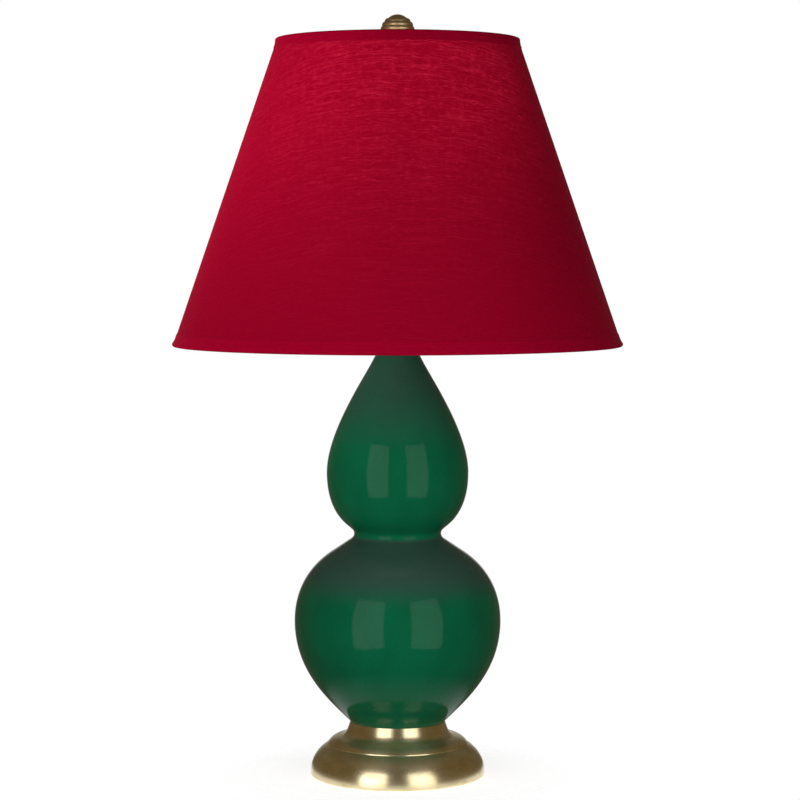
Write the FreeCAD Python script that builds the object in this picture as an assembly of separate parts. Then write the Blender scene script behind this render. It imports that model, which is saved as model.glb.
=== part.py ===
import FreeCAD, Part
import math
import os

# Table lamp: stepped brass base, hollow double gourd body, harp, socket, bulb, empire shade, finial.
# Millimetres. The origin is the middle of the felt's underside, +Z up, and the switch points to -Y.
# Every level is stacked from the felt upwards, so a piece rests on the one below it.

V = FreeCAD.Vector
UP = V(0, 0, 1)

# ---- fits
SLIP = 0.3              # loose fit of one fixed piece in or over another
THREAD_GAP = 0.05       # radial room in a threaded pair
TURN_GAP = 0.1          # between faces that turn on each other
SLIDE_GAP = 0.25        # radial room of a ferrule on what it slides over
WRAP_GAP = 0.2          # between a wire and the fabric rolled round it

# ---- felt and cast iron weight
FELT_T = 2.0
FELT_DROP = 0.5         # felt below the brass rim
FELT_MARGIN = 2.0       # felt edge to rim
WEIGHT_R = 66.0
WEIGHT_T = 16.0
WEIGHT_HUB_R = 22.0
NUT_POCKET_R = 17.0
NUT_POCKET_DEPTH = 11.0

# ---- brass base: foot, big quarter round, step, bead, cove, collar
BRASS_WALL = 1.6
FOOT_R = 90.5
FOOT_ROUND = 2.5
FOOT_RISE = 3.5         # rim to the start of the quarter round
OVOLO_RISE = 29.1
STEP_R = 72.9
STEP_IN = 0.5           # step between the two tiers
STEP_RISE = 0.9
BEAD_RISE = 7.35
LEDGE_R = 60.5
COVE_RISE = 15.35
COLLAR_R = 49.05
COLLAR_LIP = 1.4
SEAT_DEPTH = 2.9        # collar top to the seat inside it
SEAT_T = 2.0
OVOLO_PULL = (13.6, 10.4)
BEAD_PULL = (4.8, 5.8)
COVE_PULL = (8.2, 8.9)
OVOLO_DEG = 150.2       # direction in which each curve arrives, from +R towards +Z
BEAD_DEG = (120.8, 169.5)
COVE_DEG = 109.6
FLANGE_R = 78.0         # opening of the turned-in flange that the felt is glued to
FLANGE_T = 1.4
RIM_WALL = 1.4

# ---- cord inlet bushing, in the rear of the foot
INLET_H = 9.5           # bore above the brass rim
INLET_R = 3.6
INLET_WALL = 1.4
INLET_FLANGE = 2.4      # flange edge to bore wall
INLET_PROUD = 1.0
INLET_LENGTH = 9.0

# ---- lamp rod, nuts and washer
ROD_R = 4.9
ROD_BORE_R = 3.4
ROD_TAIL = 1.0          # rod below its nut
ROD_HEAD = 6.0          # rod above the harp saddle
ROD_NUT_AF = 16.0
ROD_NUT_T = 6.0
WASHER_R = 13.0
WASHER_T = 1.8
LOCKNUT_T = 3.2

# ---- gasket and gourd body
GASKET_T = 0.8
GASKET_W = 14.0
GOURD_WALL = 5.5
LIP_ROOM = 0.2          # collar lip to the gourd's shoulder over it
BELLY_R = 106.8
BELLY_RISE = 105.0      # shoulder over the collar to belly
SHOULDER_R = 64.0
SHOULDER_RISE = 74.5
WAIST_R = 41.35         # where the two flanks would meet
WAIST_ROUND = 6.0
UPPER_FLANK = 10.9      # straight flank from there to the upper bulb's curve
CROWN_R = 73.35
CROWN_RISE = 56.6
NECK_R = 26.0
NECK_RISE = 115.16
NECK_TOP_R = 17.0
FOOT_DEG = 45.7
SHOULDER_DEG = 146.4
FLANK_DEG = 42.5
NECK_DEG = 117.72
LOWER_PULL = (29.4, 54.2)
BELLY_PULL = (50.2, 7.3)
UPPER_PULL = (5.0, 41.1)
CROWN_PULL = (40.8, 22.1)
ROD_HOLE_R = 6.4

# ---- vase cap and neck
CAP_SKIRT = 4.5
CAP_ROOM = 0.5
CAP_WALL = 1.4
CAP_T = 4.0
CAP_FACE_R = 12.0
NECK_H = 30.2
NECK_FLANGE_R = 10.5
NECK_HEAD_R = 9.0
NECK_WAIST_R = 7.0
NECK_FLANGE_T = 2.0

# ---- harp saddle
STRAP_T = 1.4
STRAP_W = 12.7
STRAP_BEND = 3.0
SADDLE_HALF = 29.0      # axis to the middle of an arm
ARM_H = 10.0            # strap top to the arm's shoulders
TONGUE_H = 7.0
TONGUE_W = 4.0

# ---- harp, its stud and ferrules
HARP_H = 256.1          # strap top to the middle of the top wire
HARP_WIRE_R = 1.6
HARP_BOW = 58.0
HARP_BOW_H = 103.5
HARP_SHOULDER = 55.0
HARP_SHOULDER_DROP = 52.6
HARP_TOP_HALF = 24.0
HARP_KNEE_H = 46.5      # strap top to where the straight leg would turn
HARP_KNEE_BEND = 30.0
HARP_BOW_BEND = 120.0
HARP_SHOULDER_BEND = 110.0
HARP_TOP_BEND = 25.0
HARP_FOOT_R = 3.3
HARP_FOOT_H = 13.0
BOSS_R = 6.35
BOSS_T = 4.0
STUD_R = 3.1
STUD_H = 13.0
STUD_SHANK_R = 2.4
STUD_RIVET_R = 4.5
STUD_RIVET_T = 1.2
FERRULE_R = 4.7
FERRULE_LID = 1.0

# ---- socket
CAP_HUB_R = 7.0
CAP_HUB_H = 6.0
CAP_CUP_R = 17.6
CAP_CUP_RISE = 10.0
CAP_RIM_H = 5.0
CAP_CUP_WALL = 0.8
CAP_CUP_DEG = 12.0
CAP_CUP_PULL = (7.0, 5.0)
SHELL_T = 0.6
SHELL_H = 43.0
LINER_T = 0.7
CORE_H = 17.0
CORE_FOOT = 2.5         # wire space between cup and core
SCREW_SHELL_R = 13.5
SCREW_SHELL_T = 0.4
SCREW_SHELL_H = 22.0
CONTACT_R = 4.0
CONTACT_T = 0.8
SET_SCREW_R = 1.5
SET_SCREW_LENGTH = 4.0
TERMINAL_R = 3.0
TERMINAL_T = 2.6
TERMINAL_POCKET = (7.2, 12.0)   # width and height

# ---- turn switch
SWITCH_R = 2.0
SWITCH_DEPTH = 9.0      # shaft inside the socket core
SWITCH_HOLE_R = 3.2
KNOB_R = 7.0
KNOB_TIP_R = 5.8
KNOB_LENGTH = 15.0
KNOB_CROWN = 2.2
KNOB_STAND_OFF = 2.0
KNOB_GRIP_R = 0.7
KNOB_GRIPS = 12

# ---- bulb
BULB_BASE_R = 13.1
BULB_BASE_H = 20.5
BULB_TIP_R = 4.5
BULB_TIP_T = 1.6
BULB_INSULATOR_T = 3.9
BULB_INSULATOR_R = 10.8
GLASS_NECK_R = 12.8
GLASS_R = 30.0
GLASS_RISE = 52.0
GLASS_CROWN = 32.0
GLASS_T = 0.9
GLASS_FLARE_PULL = (26.0, 20.0)
GLASS_CROWN_PULL = (17.5, 17.0)

# ---- shade: a cone of fabric on styrene, wire rings in rolled fabric edges, spider with three arms
SHADE_H = 314.0
SHADE_TOP_R = 123.1
SHADE_BOTTOM_R = 230.8
SHADE_FABRIC_T = 0.6
SHADE_LINER_T = 0.8
SHADE_RECESS = 12.7     # top ring above the spider hub
RING_R = 1.5
TRIM_T = 0.6
TRIM_LAP_T = 0.5
ROLL_ARCS = 4           # stretches that make up the round of a rolled edge
HEM_BOTTOM = 13.0
HEM_TOP = 11.0
HEM_INSIDE = 8.0
HEM_FLARE = 6.5         # where the rolled edge has thinned to the lap
HUB_R = 12.5
HUB_T = 1.6
HUB_ROOM = 0.3          # spider hub around the stud
ARM_R = 1.4
ARM_COUNT = 3
ARM_FIRST_DEG = 30.0
ARM_ROOT_R = 9.6
ARM_DIP_R = (60.0, 95.0)
ARM_BEND = 40.0

# ---- finial: ribbed dome on a waisted stem
FINIAL_R = 17.6
FINIAL_H = 38.9
FINIAL_RIB_DEG = 17.5
FINIAL_RIBS = 4
FINIAL_GROOVE = 0.8
FINIAL_FLANGE_R = 8.4
FINIAL_FLANGE_T = 2.2
FINIAL_STEM_R = 6.2

# ---- levels
RIM_Z = FELT_DROP
OVOLO_Z = RIM_Z + FOOT_RISE
STEP_Z = OVOLO_Z + OVOLO_RISE
BEAD_Z = STEP_Z + STEP_RISE
LEDGE_Z = BEAD_Z + BEAD_RISE
COLLAR_Z = LEDGE_Z + COVE_RISE
SEAT_Z = COLLAR_Z - SEAT_DEPTH
GOURD_Z = SEAT_Z + GASKET_T
GOURD_EDGE_Z = COLLAR_Z + LIP_ROOM
BELLY_Z = GOURD_EDGE_Z + BELLY_RISE
SHOULDER_Z = BELLY_Z + SHOULDER_RISE
WAIST_Z = SHOULDER_Z + (SHOULDER_R - WAIST_R) * math.tan(math.radians(180 - SHOULDER_DEG))
UPPER_R = WAIST_R + UPPER_FLANK * math.cos(math.radians(FLANK_DEG))
UPPER_Z = WAIST_Z + UPPER_FLANK * math.sin(math.radians(FLANK_DEG))
CROWN_Z = UPPER_Z + CROWN_RISE
NECK_Z = CROWN_Z + NECK_RISE
NECK_TAPER = math.tan(math.radians(180 - NECK_DEG))
GOURD_TOP_Z = NECK_Z + (NECK_R - NECK_TOP_R) * NECK_TAPER
NECK_BASE_Z = GOURD_TOP_Z + CAP_T
LOCKNUT_Z = NECK_BASE_Z + NECK_H
STRAP_Z = LOCKNUT_Z + LOCKNUT_T
SADDLE_Z = STRAP_Z + STRAP_T
ARM_Z = SADDLE_Z + ARM_H
HARP_TOP_Z = SADDLE_Z + HARP_H
BOSS_Z = HARP_TOP_Z + BOSS_T / 2
HUB_Z = BOSS_Z + TURN_GAP
FINIAL_Z = HUB_Z + HUB_T + TURN_GAP
CUP_Z = SADDLE_Z + CAP_HUB_H
CUP_TOP_Z = CUP_Z + CAP_CUP_RISE
CORE_TOP_Z = CUP_TOP_Z + CORE_H
SWITCH_Z = CUP_TOP_Z + CORE_H / 2
BULB_Z = CORE_TOP_Z + CONTACT_T + TURN_GAP
NUT_Z = FELT_T + NUT_POCKET_DEPTH - WASHER_T - ROD_NUT_T
INLET_Z = RIM_Z + INLET_H
FELT_R = FOOT_R - FOOT_ROUND - RIM_WALL - FELT_MARGIN
SHELL_R = CAP_CUP_R - CAP_CUP_WALL
LINER_R = SHELL_R - SHELL_T
CORE_R = LINER_R - LINER_T
FERRULE_BORE_R = HARP_FOOT_R + SLIDE_GAP

# ---- shade frame: s runs up the slant from the bottom edge, n stands out of the fabric
SHADE_LEAN = math.atan2(SHADE_BOTTOM_R - SHADE_TOP_R, SHADE_H)
SHADE_SLANT = SHADE_H / math.cos(SHADE_LEAN)
PANEL_T = SHADE_FABRIC_T + SHADE_LINER_T
ROLL_R = RING_R + WRAP_GAP + TRIM_T
RING_Z = HUB_Z + HUB_T / 2 + SHADE_RECESS
SHADE_Z = RING_Z - (SHADE_SLANT - ROLL_R) * math.cos(SHADE_LEAN) + PANEL_T / 2 * math.sin(SHADE_LEAN)


def heading(degrees):
    """Unit vector in the radius-height plane, measured from +R towards +Z."""
    angle = math.radians(degrees)
    return V(math.cos(angle), 0, math.sin(angle))


def inward(degrees):
    """Unit vector towards the axis from an outline that runs upwards in this direction."""
    return heading(degrees + 90)


class Outline:
    """A closed outline in the radius-height plane. It is drawn anticlockwise."""

    def __init__(self, r, z):
        self.start = V(r, 0, z)
        self.end = self.start
        self.edges = []

    def line(self, r, z):
        point = V(r, 0, z)
        if point.distanceToPoint(self.end) > 1e-6:
            self.edges.append(Part.makeLine(self.end, point))
            self.end = point
        return self

    def arc(self, middle, end):
        self.edges.append(Part.Arc(self.end, middle, end).toShape())
        self.end = end
        return self

    def curve(self, run, inset=0.0):
        """Cubic between two stations (r, z, degrees) with a pull at each, moved inwards by inset."""
        (r0, z0, deg0), (r1, z1, deg1), (pull0, pull1) = run
        first = V(r0, 0, z0) + inward(deg0) * inset
        last = V(r1, 0, z1) + inward(deg1) * inset
        share = first.distanceToPoint(last) / V(r0, 0, z0).distanceToPoint(V(r1, 0, z1))
        self.line(first.x, first.z)
        bezier = Part.BezierCurve()
        bezier.setPoles([first, first + heading(deg0) * pull0 * share,
                         last - heading(deg1) * pull1 * share, last])
        self.edges.append(bezier.toShape())
        self.end = last
        return self

    def crown(self, z):
        """Round cap that meets the axis square at height z."""
        rise = z - self.end.z
        radius = (self.end.x ** 2 + rise ** 2) / (2 * rise)
        half = math.degrees(math.asin(self.end.x / radius)) / 2
        centre = V(0, 0, z - radius)
        return self.arc(centre + heading(90 - half) * radius, V(0, 0, z))

    def wire(self):
        self.line(self.start.x, self.start.z)
        return Part.Wire(self.edges)

    def turned(self):
        return Part.Face(self.wire()).revolve(V(0, 0, 0), UP, 360)


def disc(radius, z_low, z_high):
    return Part.makeCylinder(radius, z_high - z_low, V(0, 0, z_low))


def ring(outer, inner, z_low, z_high):
    return disc(outer, z_low, z_high).cut(disc(inner, z_low, z_high))


def block(x_low, x_high, y_low, y_high, z_low, z_high):
    return Part.makeBox(x_high - x_low, y_high - y_low, z_high - z_low, V(x_low, y_low, z_low))


def hexagon(across_flats, bore_r, z_low, z_high):
    corner = across_flats / math.sqrt(3)
    points = [V(corner * math.cos(math.radians(60 * i)), corner * math.sin(math.radians(60 * i)), z_low)
              for i in range(7)]
    nut = Part.Face(Part.makePolygon(points)).extrude(UP * (z_high - z_low))
    return nut.cut(disc(bore_r, z_low, z_high))


def rounded(corners, closed):
    """Wire in the XZ plane through corners (x, z, bend radius), with tangent arcs at the bends."""
    points = [V(x, 0, z) for x, z, _ in corners]
    count = len(points)
    ends = []
    for i, (x, z, bend) in enumerate(corners):
        here = points[i]
        if bend == 0:
            ends.append((here, None, here))
            continue
        back = (points[i - 1] - here).normalize()
        ahead = (points[(i + 1) % count] - here).normalize()
        half = back.getAngle(ahead) / 2
        centre = here + (back + ahead).normalize() * (bend / math.sin(half))
        tangent = bend / math.tan(half)
        middle = centre + (here - centre).normalize() * bend
        ends.append((here + back * tangent, middle, here + ahead * tangent))
    edges = []
    for i, (enter, middle, leave) in enumerate(ends):
        if middle:
            edges.append(Part.Arc(enter, middle, leave).toShape())
        if closed or i + 1 < count:
            edges.append(Part.makeLine(leave, ends[(i + 1) % count][0]))
    return Part.Wire(edges)


def bent_wire(corners, wire_r):
    """Round wire bent through corners in the XZ plane."""
    path = rounded(corners, closed=False)
    start = path.Edges[0].valueAt(path.Edges[0].FirstParameter)
    along = path.Edges[0].tangentAt(path.Edges[0].FirstParameter)
    section = Part.Wire(Part.makeCircle(wire_r, start, along))
    return path.makePipeShell([section], True, False)


# ---- base

def base_form(inset):
    """The base's outside, filled, moved inwards by inset."""
    foot = (FOOT_R, OVOLO_Z, 90)
    step = (STEP_R, STEP_Z, OVOLO_DEG)
    bead = (STEP_R - STEP_IN, BEAD_Z, BEAD_DEG[0])
    ledge = (LEDGE_R, LEDGE_Z, BEAD_DEG[1])
    collar = (COLLAR_R, COLLAR_Z, COVE_DEG)
    if inset:
        outline = Outline(0, FELT_T + FLANGE_T).line(FOOT_R - inset, FELT_T + FLANGE_T)
    else:
        outline = Outline(0, RIM_Z).line(FOOT_R - FOOT_ROUND, RIM_Z)
        centre = V(FOOT_R - FOOT_ROUND, 0, RIM_Z + FOOT_ROUND)
        outline.arc(centre + heading(-45) * FOOT_ROUND, centre + heading(0) * FOOT_ROUND)
    outline.curve((foot, step, OVOLO_PULL), inset)
    if not inset:
        outline.line(STEP_R - STEP_IN, STEP_Z)
    outline.curve((bead, ledge, BEAD_PULL), inset)
    outline.curve((ledge, collar, COVE_PULL), inset)
    outline.line(0, outline.end.z)
    return outline.turned()


def inlet_tube(radius, y_low, y_high):
    return Part.makeCylinder(radius, y_high - y_low, V(0, y_low, INLET_Z), V(0, 1, 0))


def brass_base():
    """Spun shell, open below, with the seat that closes the collar."""
    inside = base_form(BRASS_WALL).common(disc(FOOT_R, 0, SEAT_Z - SEAT_T))
    shell = base_form(0).cut(inside)
    shell = shell.cut(disc(FOOT_R - FOOT_ROUND - RIM_WALL, 0, FELT_T))
    shell = shell.cut(disc(FLANGE_R, FELT_T, FELT_T + FLANGE_T))
    shell = shell.cut(disc(COLLAR_R - COLLAR_LIP, SEAT_Z, COLLAR_Z + FELT_T))
    shell = shell.cut(disc(ROD_R + SLIP, SEAT_Z - SEAT_T, SEAT_Z))
    return shell.cut(inlet_tube(INLET_R + INLET_WALL, 0, FOOT_R + INLET_PROUD))


def cord_bushing():
    """Moulded bushing whose flange follows the foot's curve."""
    face_y = FOOT_R + INLET_PROUD
    flange = inlet_tube(INLET_R + INLET_FLANGE, FOOT_R - INLET_LENGTH / 2, face_y).cut(base_form(0))
    barrel = inlet_tube(INLET_R + INLET_WALL, face_y - INLET_LENGTH, face_y)
    return flange.fuse(barrel).cut(inlet_tube(INLET_R, face_y - INLET_LENGTH, face_y)).removeSplitter()


def base_weight():
    """Cast iron disc with a hub up to the seat, a nut pocket and a channel for the cord."""
    top = FELT_T + WEIGHT_T
    pocket_top = FELT_T + NUT_POCKET_DEPTH
    cast = disc(WEIGHT_R, FELT_T, top).fuse(disc(WEIGHT_HUB_R, top, SEAT_Z - SEAT_T)).removeSplitter()
    cast = cast.cut(disc(ROD_R + SLIP, FELT_T, SEAT_Z - SEAT_T))
    cast = cast.cut(disc(NUT_POCKET_R, FELT_T, pocket_top))
    half = INLET_R + SLIP
    return cast.cut(block(-half, half, 0, WEIGHT_R, FELT_T, pocket_top))


def felt_pad():
    return disc(FELT_R, 0, FELT_T)


# ---- rod stack

def lamp_rod():
    return ring(ROD_R, ROD_BORE_R, NUT_Z - ROD_TAIL, SADDLE_Z + ROD_HEAD)


def rod_nut():
    return hexagon(ROD_NUT_AF, ROD_R + THREAD_GAP, NUT_Z, NUT_Z + ROD_NUT_T)


def rod_washer():
    return ring(WASHER_R, ROD_R + SLIP, NUT_Z + ROD_NUT_T, NUT_Z + ROD_NUT_T + WASHER_T)


def seat_gasket():
    outer = COLLAR_R - COLLAR_LIP - SLIP
    return ring(outer, outer - GASKET_W, SEAT_Z, GOURD_Z)


def vase_cap():
    """Turned cap that covers the mouth of the gourd."""
    low = GOURD_TOP_Z - CAP_SKIRT
    inner = NECK_TOP_R + CAP_SKIRT / NECK_TAPER + CAP_ROOM
    outer = inner + CAP_WALL
    bore = ROD_R + SLIP
    skirt = (outer, low + CAP_WALL, 90)
    face = (CAP_FACE_R, NECK_BASE_Z, 180)
    outline = Outline(inner, low).line(outer, low)
    outline.curve((skirt, face, (CAP_SKIRT, CAP_SKIRT)))
    outline.line(bore, NECK_BASE_Z).line(bore, GOURD_TOP_Z).line(inner, GOURD_TOP_Z)
    return outline.turned()


def neck():
    """Waisted spacer between cap and harp saddle."""
    bore = ROD_R + SLIP
    top = LOCKNUT_Z
    outline = Outline(bore, NECK_BASE_Z).line(NECK_FLANGE_R, NECK_BASE_Z)
    outline.line(NECK_FLANGE_R, NECK_BASE_Z + NECK_FLANGE_T)
    outline.arc(V(NECK_WAIST_R, 0, (NECK_BASE_Z + top) / 2), V(NECK_HEAD_R, 0, top - NECK_FLANGE_T))
    outline.line(NECK_HEAD_R, top).line(bore, top)
    return outline.turned()


def locknut():
    return hexagon(ROD_NUT_AF, ROD_R + THREAD_GAP, LOCKNUT_Z, STRAP_Z)


# ---- gourd

def gourd_form(inset):
    """The gourd's outside above its collar, filled, moved inwards by inset."""
    edge = (COLLAR_R, GOURD_EDGE_Z, FOOT_DEG)
    belly = (BELLY_R, BELLY_Z, 90)
    shoulder = (SHOULDER_R, SHOULDER_Z, SHOULDER_DEG)
    upper = (UPPER_R, UPPER_Z, FLANK_DEG)
    crown = (CROWN_R, CROWN_Z, 90)
    neck_start = (NECK_R, NECK_Z, NECK_DEG)
    opening = math.radians(180 - SHOULDER_DEG + FLANK_DEG) / 2
    outside = heading((SHOULDER_DEG - 180 + FLANK_DEG) / 2)
    centre = V(WAIST_R, 0, WAIST_Z) + outside * (WAIST_ROUND / math.sin(opening))
    bend = WAIST_ROUND + inset
    foot_z = GOURD_Z if not inset else GOURD_EDGE_Z + inward(FOOT_DEG).z * inset
    foot_r = COLLAR_R - COLLAR_LIP - SLIP
    outline = Outline(0, foot_z)
    if not inset:
        outline.line(foot_r, foot_z).line(foot_r, GOURD_EDGE_Z)
    outline.curve((edge, belly, LOWER_PULL), inset)
    outline.curve((belly, shoulder, BELLY_PULL), inset)
    enter = centre + inward(SHOULDER_DEG) * bend
    leave = centre + inward(FLANK_DEG) * bend
    outline.line(enter.x, enter.z)
    outline.arc(centre - outside * bend, leave)
    outline.curve((upper, crown, UPPER_PULL), inset)
    outline.curve((crown, neck_start, CROWN_PULL), inset)
    mouth_r = outline.end.x - (GOURD_TOP_Z - outline.end.z) / NECK_TAPER
    outline.line(mouth_r, GOURD_TOP_Z).line(0, GOURD_TOP_Z)
    return outline.turned()


def gourd_body():
    body = gourd_form(0).cut(gourd_form(GOURD_WALL))
    return body.cut(disc(ROD_HOLE_R, GOURD_Z, BELLY_Z))


# ---- harp

def harp_saddle():
    """Strap bent up at both ends, each arm narrowed to a tongue."""
    outer = SADDLE_HALF + STRAP_T / 2
    inner = outer - STRAP_T
    top = ARM_Z + TONGUE_H
    bend = STRAP_BEND
    corners = [(-outer, top, 0), (-outer, STRAP_Z, bend + STRAP_T), (outer, STRAP_Z, bend + STRAP_T),
               (outer, top, 0), (inner, top, 0), (inner, SADDLE_Z, bend), (-inner, SADDLE_Z, bend),
               (-inner, top, 0)]
    strap = Part.Face(rounded(corners, closed=True)).extrude(V(0, STRAP_W, 0))
    strap.translate(V(0, -STRAP_W / 2, 0))
    strap = strap.cut(disc(ROD_R + THREAD_GAP, STRAP_Z, SADDLE_Z))
    for side in (-1, 1):
        low, high = sorted((side * TONGUE_W / 2, side * STRAP_W))
        strap = strap.cut(block(-outer, outer, low, high, ARM_Z, top))
    return strap


def harp():
    """Bent wire with a round foot over each tongue and a flat boss on top."""
    knee = SADDLE_Z + HARP_KNEE_H
    foot_top = ARM_Z + HARP_FOOT_H
    right = [(HARP_TOP_HALF, HARP_TOP_Z, HARP_TOP_BEND),
             (HARP_SHOULDER, HARP_TOP_Z - HARP_SHOULDER_DROP, HARP_SHOULDER_BEND),
             (HARP_BOW, SADDLE_Z + HARP_BOW_H, HARP_BOW_BEND),
             (SADDLE_HALF, knee, HARP_KNEE_BEND),
             (SADDLE_HALF, foot_top - HARP_WIRE_R, 0)]
    left = [(-x, z, bend) for x, z, bend in reversed(right)]
    loop = bent_wire(left + right, HARP_WIRE_R)
    loop = loop.fuse(disc(BOSS_R, BOSS_Z - BOSS_T, BOSS_Z))
    for side in (-1, 1):
        foot = Part.makeCylinder(HARP_FOOT_R, HARP_FOOT_H, V(side * SADDLE_HALF, 0, ARM_Z))
        loop = loop.fuse(foot)
    room_x = STRAP_T / 2 + THREAD_GAP
    room_y = TONGUE_W / 2 + THREAD_GAP
    for side in (-1, 1):
        middle = side * SADDLE_HALF
        slot = block(middle - room_x, middle + room_x, -room_y, room_y, ARM_Z, ARM_Z + TONGUE_H + SLIP)
        loop = loop.cut(slot)
    return loop.cut(disc(STUD_SHANK_R + THREAD_GAP, BOSS_Z - BOSS_T, BOSS_Z)).removeSplitter()


def harp_stud():
    """Stud riveted through the harp's boss."""
    low = BOSS_Z - BOSS_T
    outline = Outline(0, low - STUD_RIVET_T).line(STUD_RIVET_R, low - STUD_RIVET_T).line(STUD_RIVET_R, low)
    outline.line(STUD_SHANK_R, low).line(STUD_SHANK_R, BOSS_Z).line(STUD_R, BOSS_Z)
    outline.line(STUD_R, BOSS_Z + STUD_H).line(0, BOSS_Z + STUD_H)
    return outline.turned()


def ferrule(side):
    """Sleeve that slides up the harp leg and locks the foot on its tongue when down."""
    low = ARM_Z + TURN_GAP
    lid = ARM_Z + HARP_FOOT_H + SLIP
    sleeve = disc(FERRULE_R, low, lid + FERRULE_LID).cut(disc(FERRULE_BORE_R, low, lid))
    sleeve = sleeve.cut(disc(HARP_WIRE_R + SLIDE_GAP, lid, lid + FERRULE_LID))
    sleeve = sleeve.makeChamfer(FERRULE_LID / 2, [outer_rim(sleeve, lid + FERRULE_LID)])
    sleeve.translate(V(side * SADDLE_HALF, 0, 0))
    return sleeve


def outer_rim(shape, z):
    """The widest circular edge at height z."""
    rims = [edge for edge in shape.Edges if abs(edge.BoundBox.ZMin - z) < 1e-6 and
            abs(edge.BoundBox.ZMax - z) < 1e-6]
    return max(rims, key=lambda edge: edge.Length)


# ---- socket

def cup_form(inset, top):
    """The socket cap's bowl, filled up to top, moved inwards by inset."""
    hub = (CAP_HUB_R, CUP_Z, CAP_CUP_DEG)
    rim = (CAP_CUP_R, CUP_TOP_Z, 90)
    outline = Outline(0, CUP_Z + inward(CAP_CUP_DEG).z * inset)
    outline.curve((hub, rim, CAP_CUP_PULL), inset)
    outline.line(CAP_CUP_R - inset, top).line(0, top)
    return outline.turned()


def socket_cap():
    top = CUP_TOP_Z + CAP_RIM_H
    cup = cup_form(0, top).cut(cup_form(CAP_CUP_WALL, top))
    cup = cup.fuse(disc(CAP_HUB_R, SADDLE_Z, CUP_Z + CAP_CUP_WALL))
    cup = cup.cut(disc(ROD_R + THREAD_GAP, SADDLE_Z, CUP_Z + 2 * CAP_CUP_WALL)).removeSplitter()
    return cup.cut(set_screw_body(SET_SCREW_R))


def set_screw_body(radius):
    return Part.makeCylinder(radius, SET_SCREW_LENGTH, V(0, ROD_R + THREAD_GAP, SADDLE_Z + CAP_HUB_H / 2),
                             V(0, 1, 0))


def set_screw():
    return set_screw_body(SET_SCREW_R)


def switch_slot(tube):
    """A tube with the notch that lets the switch shaft in from below."""
    tube = tube.cut(Part.makeCylinder(SWITCH_HOLE_R, CAP_CUP_R, V(0, 0, SWITCH_Z), V(0, -1, 0)))
    return tube.cut(block(-SWITCH_HOLE_R, SWITCH_HOLE_R, -CAP_CUP_R, 0, CUP_TOP_Z, SWITCH_Z))


def socket_shell():
    return switch_slot(ring(SHELL_R, LINER_R, CUP_TOP_Z, CUP_TOP_Z + SHELL_H))


def socket_liner():
    return switch_slot(ring(LINER_R, CORE_R, CUP_TOP_Z, CUP_TOP_Z + SHELL_H - SHELL_T))


def socket_core():
    """Moulded core that holds the switch and the terminals."""
    core = cup_form(CAP_CUP_WALL, CORE_TOP_Z).common(disc(CORE_R, CUP_Z + CORE_FOOT, CORE_TOP_Z))
    width, height = TERMINAL_POCKET
    floor = CORE_R - TERMINAL_T
    for side in (-1, 1):
        low, high = sorted((side * floor, side * CAP_CUP_R))
        core = core.cut(block(low, high, -width / 2, width / 2, SWITCH_Z - height / 2, SWITCH_Z + height / 2))
    shaft_start = SWITCH_DEPTH - CORE_R + THREAD_GAP
    return core.cut(Part.makeCylinder(SWITCH_R + THREAD_GAP, CAP_CUP_R, V(0, shaft_start, SWITCH_Z),
                                      V(0, -1, 0)))


def terminal_screws():
    floor = CORE_R - TERMINAL_T
    heads = [Part.makeCylinder(TERMINAL_R, TERMINAL_T - SLIP, V(side * floor, 0, SWITCH_Z), V(side, 0, 0))
             for side in (-1, 1)]
    return Part.makeCompound(heads)


def screw_shell():
    return ring(SCREW_SHELL_R + SCREW_SHELL_T, SCREW_SHELL_R, CORE_TOP_Z, CORE_TOP_Z + SCREW_SHELL_H)


def centre_contact():
    return disc(CONTACT_R, CORE_TOP_Z, CORE_TOP_Z + CONTACT_T)


# ---- switch

def switch_shaft():
    start = SWITCH_DEPTH - CORE_R
    end = -(CAP_CUP_R + KNOB_STAND_OFF + KNOB_LENGTH / 2)
    return Part.makeCylinder(SWITCH_R, start - end, V(0, start, SWITCH_Z), V(0, -1, 0))


def switch_knob():
    """Tapered knob with grip flutes, blind on the shaft."""
    near = CAP_CUP_R + KNOB_STAND_OFF
    shoulder = near + KNOB_LENGTH - KNOB_CROWN
    knob = Outline(0, near).line(KNOB_R, near).line(KNOB_TIP_R, shoulder).crown(near + KNOB_LENGTH).turned()
    knob = knob.cut(disc(SWITCH_R, near, near + KNOB_LENGTH / 2))
    for i in range(KNOB_GRIPS):
        angle = 2 * math.pi * i / KNOB_GRIPS
        spoke = V(math.cos(angle), math.sin(angle), 0)
        low = spoke * KNOB_R + UP * (near + KNOB_GRIP_R)
        high = spoke * KNOB_TIP_R + UP * shoulder
        knob = knob.cut(Part.makeCylinder(KNOB_GRIP_R, KNOB_LENGTH, low, high - low))
    knob.rotate(V(0, 0, 0), V(1, 0, 0), 90)
    knob.translate(V(0, 0, SWITCH_Z))
    return knob


# ---- bulb

def bulb_contact():
    return disc(BULB_TIP_R, BULB_Z, BULB_Z + BULB_TIP_T)


def bulb_insulator():
    low = BULB_Z + BULB_TIP_T
    return Part.makeCone(BULB_TIP_R, BULB_INSULATOR_R, BULB_INSULATOR_T, V(0, 0, low))


def bulb_base():
    low = BULB_Z + BULB_TIP_T + BULB_INSULATOR_T
    return disc(BULB_BASE_R, low, low + BULB_BASE_H)


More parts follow.
